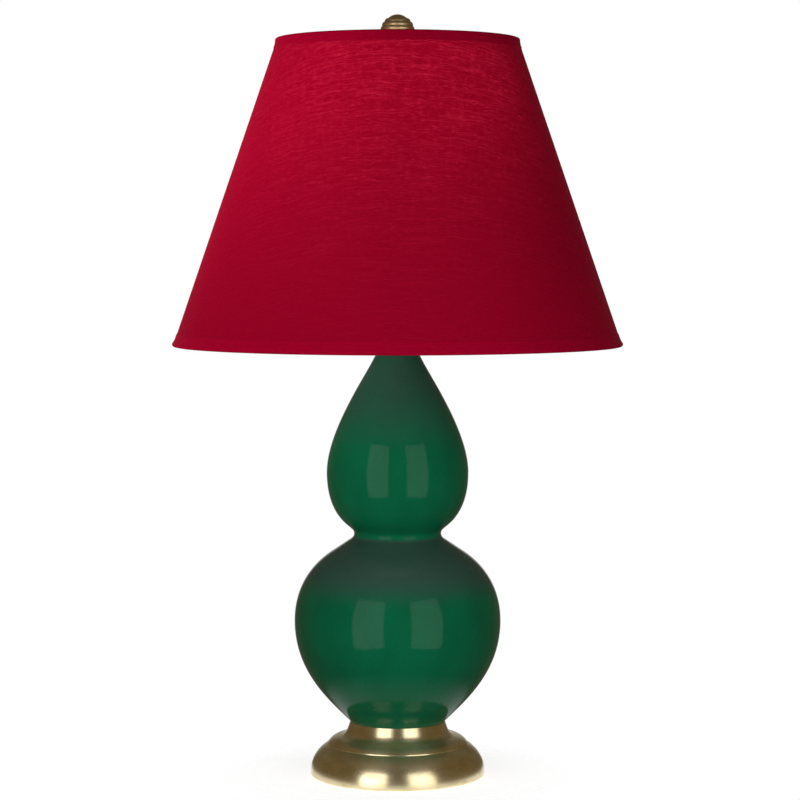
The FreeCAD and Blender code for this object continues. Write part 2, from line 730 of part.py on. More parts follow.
def glass_form(inset):
    neck_z = BULB_Z + BULB_TIP_T + BULB_INSULATOR_T + BULB_BASE_H
    neck_end = (GLASS_NECK_R, neck_z, 90)
    widest = (GLASS_R, neck_z + GLASS_RISE, 90)
    crown = (0, neck_z + GLASS_RISE + GLASS_CROWN, 180)
    outline = Outline(0, neck_z)
    outline.curve((neck_end, widest, GLASS_FLARE_PULL), inset)
    outline.curve((widest, crown, GLASS_CROWN_PULL), inset)
    return outline.turned()


def bulb_glass():
    return glass_form(0).cut(glass_form(GLASS_T))


# ---- shade

def on_shade(s, n):
    """Radius-height point at s along the slant and n out of the fabric."""
    r = SHADE_BOTTOM_R - s * math.sin(SHADE_LEAN) + n * math.cos(SHADE_LEAN)
    return V(r, 0, SHADE_Z + s * math.cos(SHADE_LEAN) + n * math.sin(SHADE_LEAN))


def shade_panel(n_outer, n_inner):
    low = ROLL_R + RING_R
    high = SHADE_SLANT - low
    corners = [on_shade(low, n_inner), on_shade(low, n_outer), on_shade(high, n_outer),
               on_shade(high, n_inner)]
    outline = Outline(corners[0].x, corners[0].z)
    for corner in corners[1:]:
        outline.line(corner.x, corner.z)
    return outline.turned()


def shade_fabric():
    return shade_panel(0, -SHADE_FABRIC_T)


def shade_liner():
    return shade_panel(-SHADE_FABRIC_T, -PANEL_T)


def edge_ring(s):
    centre = on_shade(s, -PANEL_T / 2)
    return Part.makeTorus(centre.x, RING_R, V(0, 0, centre.z))


def shade_bottom_ring():
    return edge_ring(ROLL_R)


def rolled_trim(edge_s, up, hem):
    """Fabric folded over an edge ring: outer lap as long as the hem, short lap inside."""
    def at(s, n):
        return on_shade(edge_s + up * s, n)

    def roll(radius, first, last):
        """Round stretch about the wire, between two directions from the slant."""
        step = (last - first) / ROLL_ARCS
        for i in range(ROLL_ARCS):
            halfway = heading(first + step * (i + 0.5)) * radius
            end = heading(first + step * (i + 1)) * radius
            outline.arc(at(ROLL_R + halfway.x, middle + halfway.z), at(ROLL_R + end.x, middle + end.z))

    middle = -PANEL_T / 2
    room = RING_R + WRAP_GAP
    reach = math.sqrt(room ** 2 - middle ** 2)
    mouth_deg = math.degrees(math.atan2(-middle, reach))
    lap_out = TRIM_LAP_T
    lap_in = -PANEL_T - TRIM_LAP_T
    outline = Outline(at(hem, 0).x, at(hem, 0).z)
    for point in (at(hem, lap_out), at(HEM_FLARE, lap_out), at(ROLL_R, middle + ROLL_R)):
        outline.line(point.x, point.z)
    roll(ROLL_R, 90, 270)
    for point in (at(HEM_FLARE, lap_in), at(HEM_INSIDE, lap_in), at(HEM_INSIDE, -PANEL_T),
                  at(ROLL_R + reach, -PANEL_T)):
        outline.line(point.x, point.z)
    roll(room, 360 - mouth_deg, mouth_deg)
    return outline.turned()


def shade_bottom_trim():
    return rolled_trim(0, 1, HEM_BOTTOM)


def shade_top_trim():
    trim = rolled_trim(SHADE_SLANT, -1, HEM_TOP)
    for passage in spider_arms(ARM_R + WRAP_GAP):
        trim = trim.cut(passage)
    return trim


def spider_arms(radius):
    """Three wires from the hub to the top ring, dipping by the recess and flush with the hub's underside."""
    ring_r = on_shade(SHADE_SLANT - ROLL_R, -PANEL_T / 2).x
    root_z = HUB_Z + ARM_R
    corners = [(ARM_ROOT_R, root_z, 0), (ARM_DIP_R[0], root_z, ARM_BEND), (ARM_DIP_R[1], RING_Z, ARM_BEND),
               (ring_r, RING_Z, 0)]
    arms = []
    for i in range(ARM_COUNT):
        arm = bent_wire(corners, radius)
        arm.rotate(V(0, 0, 0), UP, ARM_FIRST_DEG + 360 / ARM_COUNT * i)
        arms.append(arm)
    return arms


def spider_fitter():
    """Hub, three arms and the top ring, welded into one piece."""
    fitter = ring(HUB_R, STUD_R + HUB_ROOM, HUB_Z, HUB_Z + HUB_T)
    for arm in spider_arms(ARM_R):
        fitter = fitter.fuse(arm)
    return fitter.fuse(edge_ring(SHADE_SLANT - ROLL_R))


# ---- finial

def finial():
    """Dome of rounded ribs on a waisted stem, threaded over the stud."""
    top = FINIAL_Z + FINIAL_H
    middle = V(0, 0, top - FINIAL_R)
    last = FINIAL_RIB_DEG * (FINIAL_RIBS + 2)
    under = middle + heading(90 - last) * (FINIAL_R - FINIAL_GROOVE)
    stem_z = (FINIAL_Z + FINIAL_FLANGE_T + under.z) / 2
    flange_top = FINIAL_Z + FINIAL_FLANGE_T
    outline = Outline(0, FINIAL_Z).line(FINIAL_FLANGE_R, FINIAL_Z).line(FINIAL_FLANGE_R, flange_top)
    flange_in = (FINIAL_FLANGE_R, flange_top, 180)
    stem = (FINIAL_STEM_R, stem_z, 90)
    spread = (under.x, under.z, 0)
    pull = (stem_z - flange_top) / 3
    outline.curve((flange_in, stem, (pull / 2, pull)))
    outline.curve((stem, spread, (pull, under.x - FINIAL_STEM_R)))
    for i in range(FINIAL_RIBS):
        crest = last - FINIAL_RIB_DEG * (i + 0.5)
        groove = last - FINIAL_RIB_DEG * (i + 1)
        outline.arc(middle + heading(90 - crest) * FINIAL_R,
                    middle + heading(90 - groove) * (FINIAL_R - FINIAL_GROOVE))
    outline.crown(top)
    bore_top = BOSS_Z + STUD_H + SLIP
    return outline.turned().cut(disc(STUD_R + THREAD_GAP, FINIAL_Z, bore_top))


PIECES = {
    "felt_pad": felt_pad(),
    "base_weight": base_weight(),
    "brass_base": brass_base(),
    "cord_bushing": cord_bushing(),
    "lamp_rod": lamp_rod(),
    "rod_nut": rod_nut(),
    "rod_washer": rod_washer(),
    "seat_gasket": seat_gasket(),
    "gourd_body": gourd_body(),
    "vase_cap": vase_cap(),
    "neck": neck(),
    "locknut": locknut(),
    "harp_saddle": harp_saddle(),
    "harp": harp(),
    "harp_stud": harp_stud(),
    "ferrule_left": ferrule(-1),
    "ferrule_right": ferrule(1),
    "socket_cap": socket_cap(),
    "set_screw": set_screw(),
    "socket_shell": socket_shell(),
    "socket_liner": socket_liner(),
    "socket_core": socket_core(),
    "terminal_screws": terminal_screws(),
    "screw_shell": screw_shell(),
    "centre_contact": centre_contact(),
    "switch_shaft": switch_shaft(),
    "switch_knob": switch_knob(),
    "bulb_contact": bulb_contact(),
    "bulb_insulator": bulb_insulator(),
    "bulb_base": bulb_base(),
    "bulb_glass": bulb_glass(),
    "shade_fabric": shade_fabric(),
    "shade_liner": shade_liner(),
    "shade_bottom_ring": shade_bottom_ring(),
    "shade_bottom_trim": shade_bottom_trim(),
    "shade_top_trim": shade_top_trim(),
    "spider_fitter": spider_fitter(),
    "finial": finial(),
}

os.makedirs("parts", exist_ok=True)
for name, shape in PIECES.items():
    shape.exportStep("parts/" + name + ".step")
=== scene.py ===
import math

import bmesh
import bpy
from bpy.props import FloatProperty, IntProperty, PointerProperty, StringProperty
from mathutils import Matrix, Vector, noise


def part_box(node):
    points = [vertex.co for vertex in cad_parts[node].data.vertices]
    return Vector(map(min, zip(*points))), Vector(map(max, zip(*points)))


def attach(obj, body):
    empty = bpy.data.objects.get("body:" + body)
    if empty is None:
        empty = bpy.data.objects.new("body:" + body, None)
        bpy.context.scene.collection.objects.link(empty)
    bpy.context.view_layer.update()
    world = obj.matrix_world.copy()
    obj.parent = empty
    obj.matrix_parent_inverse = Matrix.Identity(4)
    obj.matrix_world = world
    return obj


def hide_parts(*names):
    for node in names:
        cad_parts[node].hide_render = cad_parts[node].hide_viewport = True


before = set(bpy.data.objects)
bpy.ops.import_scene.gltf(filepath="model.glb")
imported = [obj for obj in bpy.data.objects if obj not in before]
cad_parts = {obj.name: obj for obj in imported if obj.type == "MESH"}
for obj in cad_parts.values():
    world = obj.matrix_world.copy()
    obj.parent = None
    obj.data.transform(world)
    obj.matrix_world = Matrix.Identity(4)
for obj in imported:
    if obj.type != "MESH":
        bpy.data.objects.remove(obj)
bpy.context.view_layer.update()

bl_info = {
    "name": "Double gourd table lamp",
    "version": (1, 0, 0),
    "blender": (4, 5, 0),
    "location": "3D View > Sidebar > Lamp",
    "description": "Dresses a glazed gourd lamp: glaze, spun brass, socket, bulb and cloth shade",
    "category": "Object",
}

MM = 0.001
PICTURE_SIDE = 800
NOISE_MIDDLE = (0.3, 0.7)    # nearly all values of a noise texture


# ---------------------------------------------------------------- settings

class StageSettings(bpy.types.PropertyGroup):
    """Camera, floor and studio light."""
    camera_distance: FloatProperty(
        name="Camera distance", description="From the lamp's axis to the lens",
        default=2.678, unit="LENGTH")
    camera_height: FloatProperty(
        name="Camera height", description="Lens above the table", default=0.556, unit="LENGTH")
    camera_pitch: FloatProperty(
        name="Camera pitch", description="How far the lens looks down",
        default=math.radians(3.5434), unit="ROTATION")
    camera_side: FloatProperty(
        name="Camera side step", description="Lens to the right of the lamp's axis",
        default=0.0025, unit="LENGTH")
    focal_pixels: FloatProperty(
        name="Focal length in pixels", description="Of a picture 800 pixels wide", default=2600.0)
    floor_colour: StringProperty(
        name="Floor colour", description="Matt paper, sRGB hex", default="#E6E6E4")
    left_light: FloatProperty(
        name="Left softbox", description="Power of the tall softbox on the left",
        default=18.5, unit="POWER")
    right_light: FloatProperty(
        name="Right softbox", description="Power of the tall softbox on the right",
        default=16.2, unit="POWER")
    side_light: FloatProperty(
        name="Side light", description="Power of the flagged light left of the shade",
        default=330.0, unit="POWER")
    front_light: FloatProperty(
        name="Front light", description="Power of the soft fill above the lens", default=95.0, unit="POWER")
    glow_light: FloatProperty(
        name="Glow light", description="Power of the light inside the shade, aimed at its upper front",
        default=3.5, unit="POWER")
    inner_light: FloatProperty(
        name="Inner lights", description="Power of each of three soft lights inside the shade",
        default=0.03, unit="POWER")


class GlazeSettings(bpy.types.PropertyGroup):
    """The glazed double gourd."""
    colour: StringProperty(
        name="Glaze colour", description="Emerald glaze in full light, sRGB hex", default="#095F3E")
    deep_colour: StringProperty(
        name="Deep glaze colour", description="Where the glaze has run thick, sRGB hex", default="#075839")
    # Painted reflection: a grey-green that stands in for the lit shade lining mirrored on slopes that face
    # up.
    painted_reflection_colour: StringProperty(
        name="Thin glaze colour", description="On slopes that face up, where it has run off, sRGB hex",
        default="#2F4D42")
    drift: FloatProperty(
        name="Colour drift", description="Size of the soft clouds in the glaze",
        default=0.030, unit="LENGTH")
    orange_peel: FloatProperty(
        name="Orange peel", description="Size of the faint waves in the gloss",
        default=0.009, unit="LENGTH")


class BrassSettings(bpy.types.PropertyGroup):
    """Spun, cast and drawn brass."""
    colour: StringProperty(
        name="Brass colour", description="Rubbed high spots, sRGB hex", default="#F2E5C0")
    patina: StringProperty(
        name="Patina colour", description="Antiqued hollows, sRGB hex", default="#D6C496")
    finial_colour: StringProperty(
        name="Finial colour", description="Cast brass under brown lacquer, sRGB hex", default="#EBD3AA")
    finial_patina: StringProperty(
        name="Finial patina", description="Dark grooves of the cast finial, sRGB hex", default="#9A8056")
    lathe_line: FloatProperty(
        name="Lathe line", description="Spacing of the fine turned lines", default=0.0009, unit="LENGTH")


class ShadeSettings(bpy.types.PropertyGroup):
    """The empire shade: cloth on a styrene cone, with rolled edges."""
    cloth_colour: StringProperty(
        name="Cloth colour", description="Dyed cotton in full light, sRGB hex", default="#980225")
    glow_colour: StringProperty(
        name="Glow colour", description="Light that comes through the cloth, sRGB hex", default="#E01438")
    slub_glow_colour: StringProperty(
        name="Slub glow colour", description="Paler light through the loose places, sRGB hex",
        default="#E02F57")
    lining_colour: StringProperty(
        name="Lining colour", description="White styrene, sRGB hex", default="#F1EEE6")
    thread: FloatProperty(
        name="Thread spacing", description="Drawn about twice as coarse as the cotton's own",
        default=0.0009, unit="LENGTH")
    slub_length: FloatProperty(
        name="Slub length", description="Thick places in the weft yarn", default=0.034, unit="LENGTH")
    lap: FloatProperty(
        name="Seam lap", description="Overlap of the glued seam at the back", default=0.012, unit="LENGTH")
    columns: IntProperty(
        name="Columns", description="Faces round the shade", default=288)


# ---------------------------------------------------------------- shared helpers

def linear(code):
    """An sRGB hex colour as linear red, green, blue and alpha."""
    parts = [int(code[i:i + 2], 16) / 255 for i in (1, 3, 5)]
    light = [c / 12.92 if c <= 0.04045 else ((c + 0.055) / 1.055) ** 2.4 for c in parts]
    return (*light, 1.0)


def add(tree, kind, inputs=(), **settings):
    """Adds a shader node with its settings. Inputs, by name or in order, take values, sockets or nodes."""
    node = tree.nodes.new("ShaderNode" + kind)
    for name, value in settings.items():
        setattr(node, name, value)
    for key, value in inputs.items() if isinstance(inputs, dict) else enumerate(inputs):
        if isinstance(value, bpy.types.Node):
            value = next(socket for socket in value.outputs if socket.enabled)
        if isinstance(value, bpy.types.NodeSocket):
            tree.links.new(value, node.inputs[key])
        else:
            node.inputs[key].default_value = value
    return node


def new_material(name):
    """An empty node material and its tree."""
    material = bpy.data.materials.new(name)
    material.use_nodes = True
    material.node_tree.nodes.clear()
    return material, material.node_tree


def in_mm(tree, across=1.0, up=None):
    """The piece's own coordinates, divided by a size across and a size up in millimetres."""
    place = add(tree, "TexCoord").outputs["Object"]
    sizes = (across, across, across if up is None else up)
    return add(tree, "Mapping", {"Vector": place, "Scale": [1 / (MM * size) for size in sizes]})


def turned_mm(tree):
    """Radius and height of a piece turned on the lamp's axis, in millimetres, as X and Y."""
    place = add(tree, "SeparateXYZ", [in_mm(tree)]).outputs
    square_x = add(tree, "Math", [place["X"], place["X"]], operation="MULTIPLY")
    square = add(tree, "Math", [place["Y"], place["Y"], square_x], operation="MULTIPLY_ADD")
    radius = add(tree, "Math", [square], operation="SQRT")
    return add(tree, "CombineXYZ", {"X": radius, "Y": place["Z"]})


def dress(material, *nodes):
    """Gives CAD nodes a finish."""
    for name in nodes:
        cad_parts[name].material_slots[0].material = material


def mesh_piece(name, mesh_builder, material, body, replaced=()):
    """Makes a piece from a bmesh, in the row frame, riding on a body."""
    mesh = bpy.data.meshes.new(name)
    mesh_builder.normal_update()
    mesh_builder.to_mesh(mesh)
    mesh_builder.free()
    mesh.materials.append(material)
    piece = bpy.data.objects.new(name, mesh)
    bpy.context.scene.collection.objects.link(piece)
    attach(piece, body)
    if replaced:
        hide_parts(*replaced)
    return piece


def round_front(angle, radius, z):
    """A point at an angle from the front, positive towards +X."""
    return Vector((radius * math.sin(angle), -radius * math.cos(angle), z))


def turned(outline, segments, shape=None):
    """A closed bmesh turned on the lamp's axis from (radius, height) points; a radius of 0 is one point."""
    builder = bmesh.new()
    rings = []
    for radius, z in outline:
        angles = [math.tau * i / segments for i in range(segments if radius else 1)]
        grown = [radius + (shape(angle, z) if shape and radius else 0.0) for angle in angles]
        rings.append([builder.verts.new(round_front(a, r, z)) for a, r in zip(angles, grown)])
    for low, high in zip(rings, rings[1:] + rings[:1]):
        for i in range(segments):
            j = i + 1
            quad = (low[i % len(low)], low[j % len(low)], high[j % len(high)], high[i % len(high)])
            corners = list(dict.fromkeys(quad))
            if len(corners) > 2:
                builder.faces.new(corners).smooth = True
    return builder


def arc_points(centre, radius, first, last, count):
    """Points on an arc, both ends included, in degrees."""
    angles = [math.radians(first + (last - first) * i / count) for i in range(count + 1)]
    return [(centre[0] + radius * math.cos(a), centre[1] + radius * math.sin(a)) for a in angles]


# ---------------------------------------------------------------- stage

WHITE = (1.0, 1.0, 1.0, 1.0)
SOFTBOX_DISTANCE = 2.0
SOFTBOX_AZIMUTH = math.radians(32.5)
SOFTBOX_SIZE = (1.26, 2.20)
SOFTBOX_HEIGHT = 0.42
SPOT_DISTANCE = 2.6
SPOT_RADIUS = 0.25
SPOT_BLEND = 0.5
SIDE_AZIMUTH = math.radians(-90)
SIDE_CONE = math.radians(11.5)
SIDE_LIFT = 0.03
FRONT_RISE = math.radians(2)
FRONT_CONE = math.radians(11)
GLOW_CONE = math.radians(110)
GLOW_BLEND = 1.0
GLOW_RADIUS = 0.03
GLOW_PLACE = Vector((0.030, 0.075, 0.705))
GLOW_TARGET = Vector((-0.020, -0.140, 0.700))
INNER_COUNT = 3
INNER_CIRCLE = 0.09
INNER_HEIGHT = 0.62
INNER_RADIUS = 0.02
FLOOR_RADIUS = 0.4
FLOOR_SEGMENTS = 96
FLOOR_FADE = (0.10, 0.20)
FLOOR_LIFT = 0.78
SOFT_LEVEL = 0.06
STUDIO_FRONT = "#5F584A"
STUDIO_SIDES = "#685A40"
STUDIO_SIDE_EDGE = (0.35, 0.85)
BACKDROP_EDGE = (0.955, 0.996)
BACKDROP_GLOW = (0.75, 0.98)
SENSOR = 36.0
CLIP_END = 50.0


def seen_directly(tree):
    """1 for rays that show the backdrop itself: camera, mirror and glass rays."""
    path = add(tree, "LightPath").outputs
    mirror = add(tree, "Math", [path["Is Camera Ray"], path["Is Glossy Ray"]], operation="MAXIMUM")
    return add(tree, "Math", [mirror, path["Is Transmission Ray"]], operation="MAXIMUM")


def studio_world():
    """White backdrop behind the lamp, a dim studio in front of it, and soft light all round."""
    world = bpy.data.worlds.new("studio")
    bpy.context.scene.world = world
    world.use_nodes = True
    tree = world.node_tree
    tree.nodes.clear()
    to_lens = add(tree, "LightPath").outputs["Is Camera Ray"]
    direction = add(tree, "SeparateXYZ", [add(tree, "TexCoord").outputs["Generated"]]).outputs
    behind = add(tree, "MapRange", [direction["Y"], *BACKDROP_EDGE])
    backdrop = add(tree, "Math", [to_lens, behind], operation="MAXIMUM")
    sideways = add(tree, "Math", [direction["X"]], operation="ABSOLUTE")
    sides = add(tree, "MapRange", [sideways, *STUDIO_SIDE_EDGE])
    room = add(tree, "Mix", {"Factor": sides, 6: linear(STUDIO_FRONT), 7: linear(STUDIO_SIDES)},
               data_type="RGBA")
    seen = add(tree, "Mix", {"Factor": backdrop, 6: room, 7: WHITE}, data_type="RGBA")
    white = add(tree, "Background", {"Color": seen, "Strength": 1.0})
    glow = add(tree, "MapRange", [direction["Y"], *BACKDROP_GLOW, SOFT_LEVEL, 1.0])
    soft = add(tree, "Background", {"Color": WHITE, "Strength": glow})
    both = add(tree, "MixShader", [seen_directly(tree), soft, white])
    add(tree, "OutputWorld", {"Surface": both})


def floor_paper(colour):
    """Matt paper: pale, white to the lens where nothing shades it, and fading into the backdrop."""
    material, tree = new_material("matt_paper")
    plain = add(tree, "BsdfDiffuse", {"Color": linear(colour)})
    lift = add(tree, "Math", [seen_directly(tree), FLOOR_LIFT], operation="MULTIPLY")
    white = add(tree, "Emission", {"Color": WHITE, "Strength": lift})
    paper = add(tree, "AddShader", [plain, white])
    place = add(tree, "TexCoord").outputs["Object"]
    reach = add(tree, "VectorMath", [place], operation="LENGTH")
    far = add(tree, "MapRange", [reach, *FLOOR_FADE], interpolation_type="SMOOTHSTEP")
    under = add(tree, "NewGeometry").outputs["Backfacing"]
    gone = add(tree, "Math", [far, under], operation="MAXIMUM")
    whole = add(tree, "MixShader", [gone, paper, add(tree, "BsdfTransparent")])
    add(tree, "OutputMaterial", {"Surface": whole})
    return material


def softbox(name, side, power):
    """A tall softbox in front of the lamp, facing it."""
    light = bpy.data.lights.new(name, "AREA")
    light.shape = "RECTANGLE"
    light.size, light.size_y = SOFTBOX_SIZE
    light.energy = power
    lamp = bpy.data.objects.new(name, light)
    lamp.location = (side * SOFTBOX_DISTANCE * math.sin(SOFTBOX_AZIMUTH),
                     -SOFTBOX_DISTANCE * math.cos(SOFTBOX_AZIMUTH), SOFTBOX_HEIGHT)
    lamp.rotation_euler = (math.pi / 2, 0, side * SOFTBOX_AZIMUTH)
    lamp.visible_camera = False
    bpy.context.scene.collection.objects.link(lamp)


def hidden_light(name, kind, place, radius, power):
    """A soft light that neither the lens nor a glossy surface shows."""
    light = bpy.data.lights.new(name, kind)
    light.energy = power
    light.shadow_soft_size = radius
    lamp = bpy.data.objects.new(name, light)
    lamp.location = place
    lamp.visible_camera = False
    lamp.visible_glossy = False
    bpy.context.scene.collection.objects.link(lamp)
    return lamp


def flagged_spot(name, place, target, cone, blend, radius, power):
    """A soft spot with a limited cone."""
    lamp = hidden_light(name, "SPOT", place, radius, power)
    lamp.data.spot_size = cone
    lamp.data.spot_blend = blend
    lamp.rotation_euler = (place - target).to_track_quat("Z", "Y").to_euler()
    return lamp


def around(centre, azimuth, rise, distance):
    """A place round a centre: azimuth from the lens's side towards +X, then up by the rise."""
    flat = math.cos(rise) * distance
    step = Vector((math.sin(azimuth) * flat, -math.cos(azimuth) * flat, math.sin(rise) * distance))
    return centre + step


def keep_off(lamps, node):
    """Keeps lights off a CAD node, which then only mirrors what they light."""
    spared = bpy.data.collections.new("spared_" + node)
    spared.objects.link(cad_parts[node])
    spared.collection_objects[0].light_linking.link_state = "EXCLUDE"
    for lamp in lamps:
        lamp.light_linking.receiver_collection = spared


def shade_lights(look):
    """The fill on the shade from the left and the lights hidden inside it."""
    low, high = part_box("shade_fabric")
    target = (low + high) / 2 + Vector((0, 0, SIDE_LIFT))
    flagged_spot("side_light", around(target, SIDE_AZIMUTH, 0.0, SPOT_DISTANCE), target, SIDE_CONE,
                 SPOT_BLEND, SPOT_RADIUS, look.side_light)
    inside = [flagged_spot("glow_light", GLOW_PLACE, GLOW_TARGET, GLOW_CONE, GLOW_BLEND, GLOW_RADIUS,
                           look.glow_light)]
    middle = Vector((0, 0, INNER_HEIGHT))
    for i in range(INNER_COUNT):
        place = around(middle, math.tau * (i + 0.5) / INNER_COUNT, 0.0, INNER_CIRCLE)
        inside.append(hidden_light(f"inner_light_{i + 1}", "POINT", place, INNER_RADIUS, look.inner_light))
    keep_off(inside, "gourd_body")


class LAMP_OT_stage(bpy.types.Operator):
    """Sets up the camera, the paper floor and the studio light"""
    bl_idname = "lamp.stage"
    bl_label = "Stage"

    def execute(self, context):
        look = context.scene.lamp_stage
        camera = bpy.data.objects.new("camera", bpy.data.cameras.new("camera"))
        camera.location = (look.camera_side, -look.camera_distance, look.camera_height)
        camera.rotation_euler = (math.pi / 2 - look.camera_pitch, 0, 0)
        camera.data.sensor_width = SENSOR
        camera.data.lens = look.focal_pixels * SENSOR / PICTURE_SIDE
        camera.data.clip_end = CLIP_END
        context.scene.collection.objects.link(camera)
        context.scene.camera = camera
        context.scene.view_settings.view_transform = "Standard"

        disc = bmesh.new()
        bmesh.ops.create_circle(disc, cap_ends=True, segments=FLOOR_SEGMENTS, radius=FLOOR_RADIUS)
        mesh = bpy.data.meshes.new("floor")
        disc.to_mesh(mesh)
        disc.free()
        mesh.materials.append(floor_paper(look.floor_colour))
        floor = bpy.data.objects.new("floor", mesh)
        context.scene.collection.objects.link(floor)

        studio_world()
        softbox("softbox_left", -1, look.left_light)
        softbox("softbox_right", 1, look.right_light)
        middle = Vector((0, 0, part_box("gourd_body")[1].z / 2))
        flagged_spot("front_light", around(middle, 0.0, FRONT_RISE, SPOT_DISTANCE), middle, FRONT_CONE,
                     SPOT_BLEND, SPOT_RADIUS, look.front_light)
        shade_lights(look)
        return {"FINISHED"}


# ---------------------------------------------------------------- glazed gourd

# Pattern sizes, here and below, are in millimetres: one number, or the size across and the size up.
GLAZE_CLOUD_RISE = 1.6
GLAZE_POOL = (0.35, 0.68)
# Heights of the surface normal over which the painted reflection of the shade lining fades in.
GLAZE_PAINTED_REFLECTION = (0.24, 0.64)
GLAZE_SPECK = 1.6
GLAZE_FLECK = (0.35, 0.65, 0.94, 1.05)
TURNING_PITCH = 3.0
TURNING_REACH = 120.0
TURNING_SHARE = 1.6


def emerald_glaze(look):
    """Clear green glaze over turned stoneware: deep colour, crisp reflections, faint turning ridges, and a
    painted reflection of the lit shade lining on slopes that face up.
    """
    material, tree = new_material("emerald_glaze")
    drift = look.drift / MM
    cloud = add(tree, "TexNoise", {"Vector": in_mm(tree, drift, drift * GLAZE_CLOUD_RISE), "Scale": 1.0,
                                   "Detail": 4.0, "Roughness": 0.55})
    pooled = add(tree, "MapRange", [cloud, *GLAZE_POOL])
    thick = add(tree, "Mix", {"Factor": pooled, 6: linear(look.deep_colour), 7: linear(look.colour)},
                data_type="RGBA")
    # Painted reflection: slopes that face up turn grey-green, standing in for the lit shade lining mirrored
    # in the glaze.
    slope = add(tree, "SeparateXYZ", [add(tree, "TexCoord").outputs["Normal"]]).outputs["Z"]
    painted_reflection = add(tree, "MapRange", [slope, *GLAZE_PAINTED_REFLECTION], interpolation_type="SMOOTHSTEP")
    glaze_with_painted_reflection = add(tree, "Mix", {"Factor": painted_reflection, 6: thick, 7: linear(look.painted_reflection_colour)}, data_type="RGBA")
    speck = add(tree, "TexNoise", {"Vector": in_mm(tree, GLAZE_SPECK), "Scale": 1.0})
    fleck = add(tree, "MapRange", [speck, *GLAZE_FLECK])
    colour = add(tree, "VectorMath", {0: glaze_with_painted_reflection, "Scale": fleck}, operation="SCALE")
    peel = in_mm(tree, look.orange_peel / MM)
    wave = add(tree, "TexNoise", {"Vector": peel, "Scale": 1.0, "Detail": 1.0})
    ridge = add(tree, "TexNoise", {"Vector": in_mm(tree, TURNING_REACH, TURNING_PITCH), "Scale": 1.0})
    relief = add(tree, "Math", [ridge, TURNING_SHARE, wave], operation="MULTIPLY_ADD")
    bump = add(tree, "Bump", {"Height": relief, "Distance": 0.04 * MM, "Strength": 0.5})
    glaze = add(tree, "BsdfPrincipled", {
        "Base Color": colour, "Roughness": 0.07, "IOR": 1.5, "Specular IOR Level": 0.10, "Normal": bump})
    add(tree, "OutputMaterial", {"Surface": glaze})
    return material


class LAMP_OT_gourd(bpy.types.Operator):
    """Glazes the hollow double gourd"""
    bl_idname = "lamp.gourd"
    bl_label = "Glazed gourd"

    def execute(self, context):
        dress(emerald_glaze(context.scene.lamp_glaze), "gourd_body")
        return {"FINISHED"}


# ---------------------------------------------------------------- brass

SPUN_STAIN = (22.0, 9.0)
SPUN_AGED = (0.30, 0.75)
SPUN_ROUGHNESS = (0.24, 0.28)
SPUN_LEVEL_SOFTER = (0.5, 1.0, 0.0, 0.20)
# Stain size and levels, roughness, then the size, depth and strength of the draw lines.
PLATED_WIRE = ((6.0, 14.0), (0.4, 0.75), (0.17, 0.27), (0.5, 9.0), 0.008 * MM, 0.3)
STAMPED_SHELL = ((8.0, 5.0), (0.35, 0.7), (0.16, 0.26), (0.5, 12.0), 0.01 * MM, 0.4)
CAST_GRAIN = 2.4
CAST_GROOVE = (0.44, 0.53)
CAST_WEAR = (0.3, 0.75, 0.55, 1.0)
CAST_ROUGHNESS = (0.36, 0.48)


def spun_brass(look):
    """Spun brass, antiqued and rubbed back: satin streaks, clouded brown and pale at random."""
    material, tree = new_material("spun_antique_brass")
    # Turned lines are about 0.1 mm apart, too fine to show, so they are drawn coarser.
    rate = MM / look.lathe_line
    track = add(tree, "Mapping", {"Vector": turned_mm(tree), "Scale": (rate, rate, 1.0)})
    line = add(tree, "TexNoise", {"Vector": track, "Scale": 1.0})
    stain = add(tree, "TexNoise", {"Vector": in_mm(tree, *SPUN_STAIN), "Scale": 1.0, "Detail": 3.0,
                                   "Roughness": 0.45})
    aged = add(tree, "MapRange", [stain, *SPUN_AGED])
    colour = add(tree, "Mix", {"Factor": aged, 6: linear(look.colour), 7: linear(look.patina)},
                 data_type="RGBA")
    # Level faces are out of the buffing wheel's reach and stay softer.
    level = add(tree, "SeparateXYZ", [add(tree, "TexCoord").outputs["Normal"]]).outputs["Z"]
    softer = add(tree, "MapRange", [level, *SPUN_LEVEL_SOFTER])
    buffed = add(tree, "MapRange", [stain, *NOISE_MIDDLE, *SPUN_ROUGHNESS])
    rough = add(tree, "Math", [softer, buffed], operation="ADD")
    bump = add(tree, "Bump", {"Height": line, "Distance": 0.012 * MM, "Strength": 0.35})
    tangent = add(tree, "Tangent", direction_type="RADIAL", axis="Z")
    metal = add(tree, "BsdfPrincipled", {
        "Base Color": colour, "Metallic": 1.0, "Roughness": rough, "Anisotropic": 0.60,
        "Anisotropic Rotation": 0.25, "Tangent": tangent, "Normal": bump})
    add(tree, "OutputMaterial", {"Surface": metal})
    return material


def drawn_brass(name, bright, patina, stain_mm, aged_levels, roughness, line_mm, depth, strength):
    """Drawn or stamped brass: smooth, with fine lines along the draw, and clouded where it has aged."""
    material, tree = new_material(name)
    stain = add(tree, "TexNoise", {"Vector": in_mm(tree, *stain_mm), "Scale": 1.0, "Detail": 4.0})
    aged = add(tree, "MapRange", [stain, *aged_levels])
    colour = add(tree, "Mix", {"Factor": aged, 6: linear(bright), 7: linear(patina)}, data_type="RGBA")
    rough = add(tree, "MapRange", [stain, *NOISE_MIDDLE, *roughness])
    # Draw lines are less than 0.1 mm wide, too fine to show, so they are drawn coarser.
    line = add(tree, "TexNoise", {"Vector": in_mm(tree, *line_mm), "Scale": 1.0})
    bump = add(tree, "Bump", {"Height": line, "Distance": depth, "Strength": strength})
    metal = add(tree, "BsdfPrincipled", {
        "Base Color": colour, "Metallic": 1.0, "Roughness": rough, "Normal": bump})
    add(tree, "OutputMaterial", {"Surface": metal})
    return material


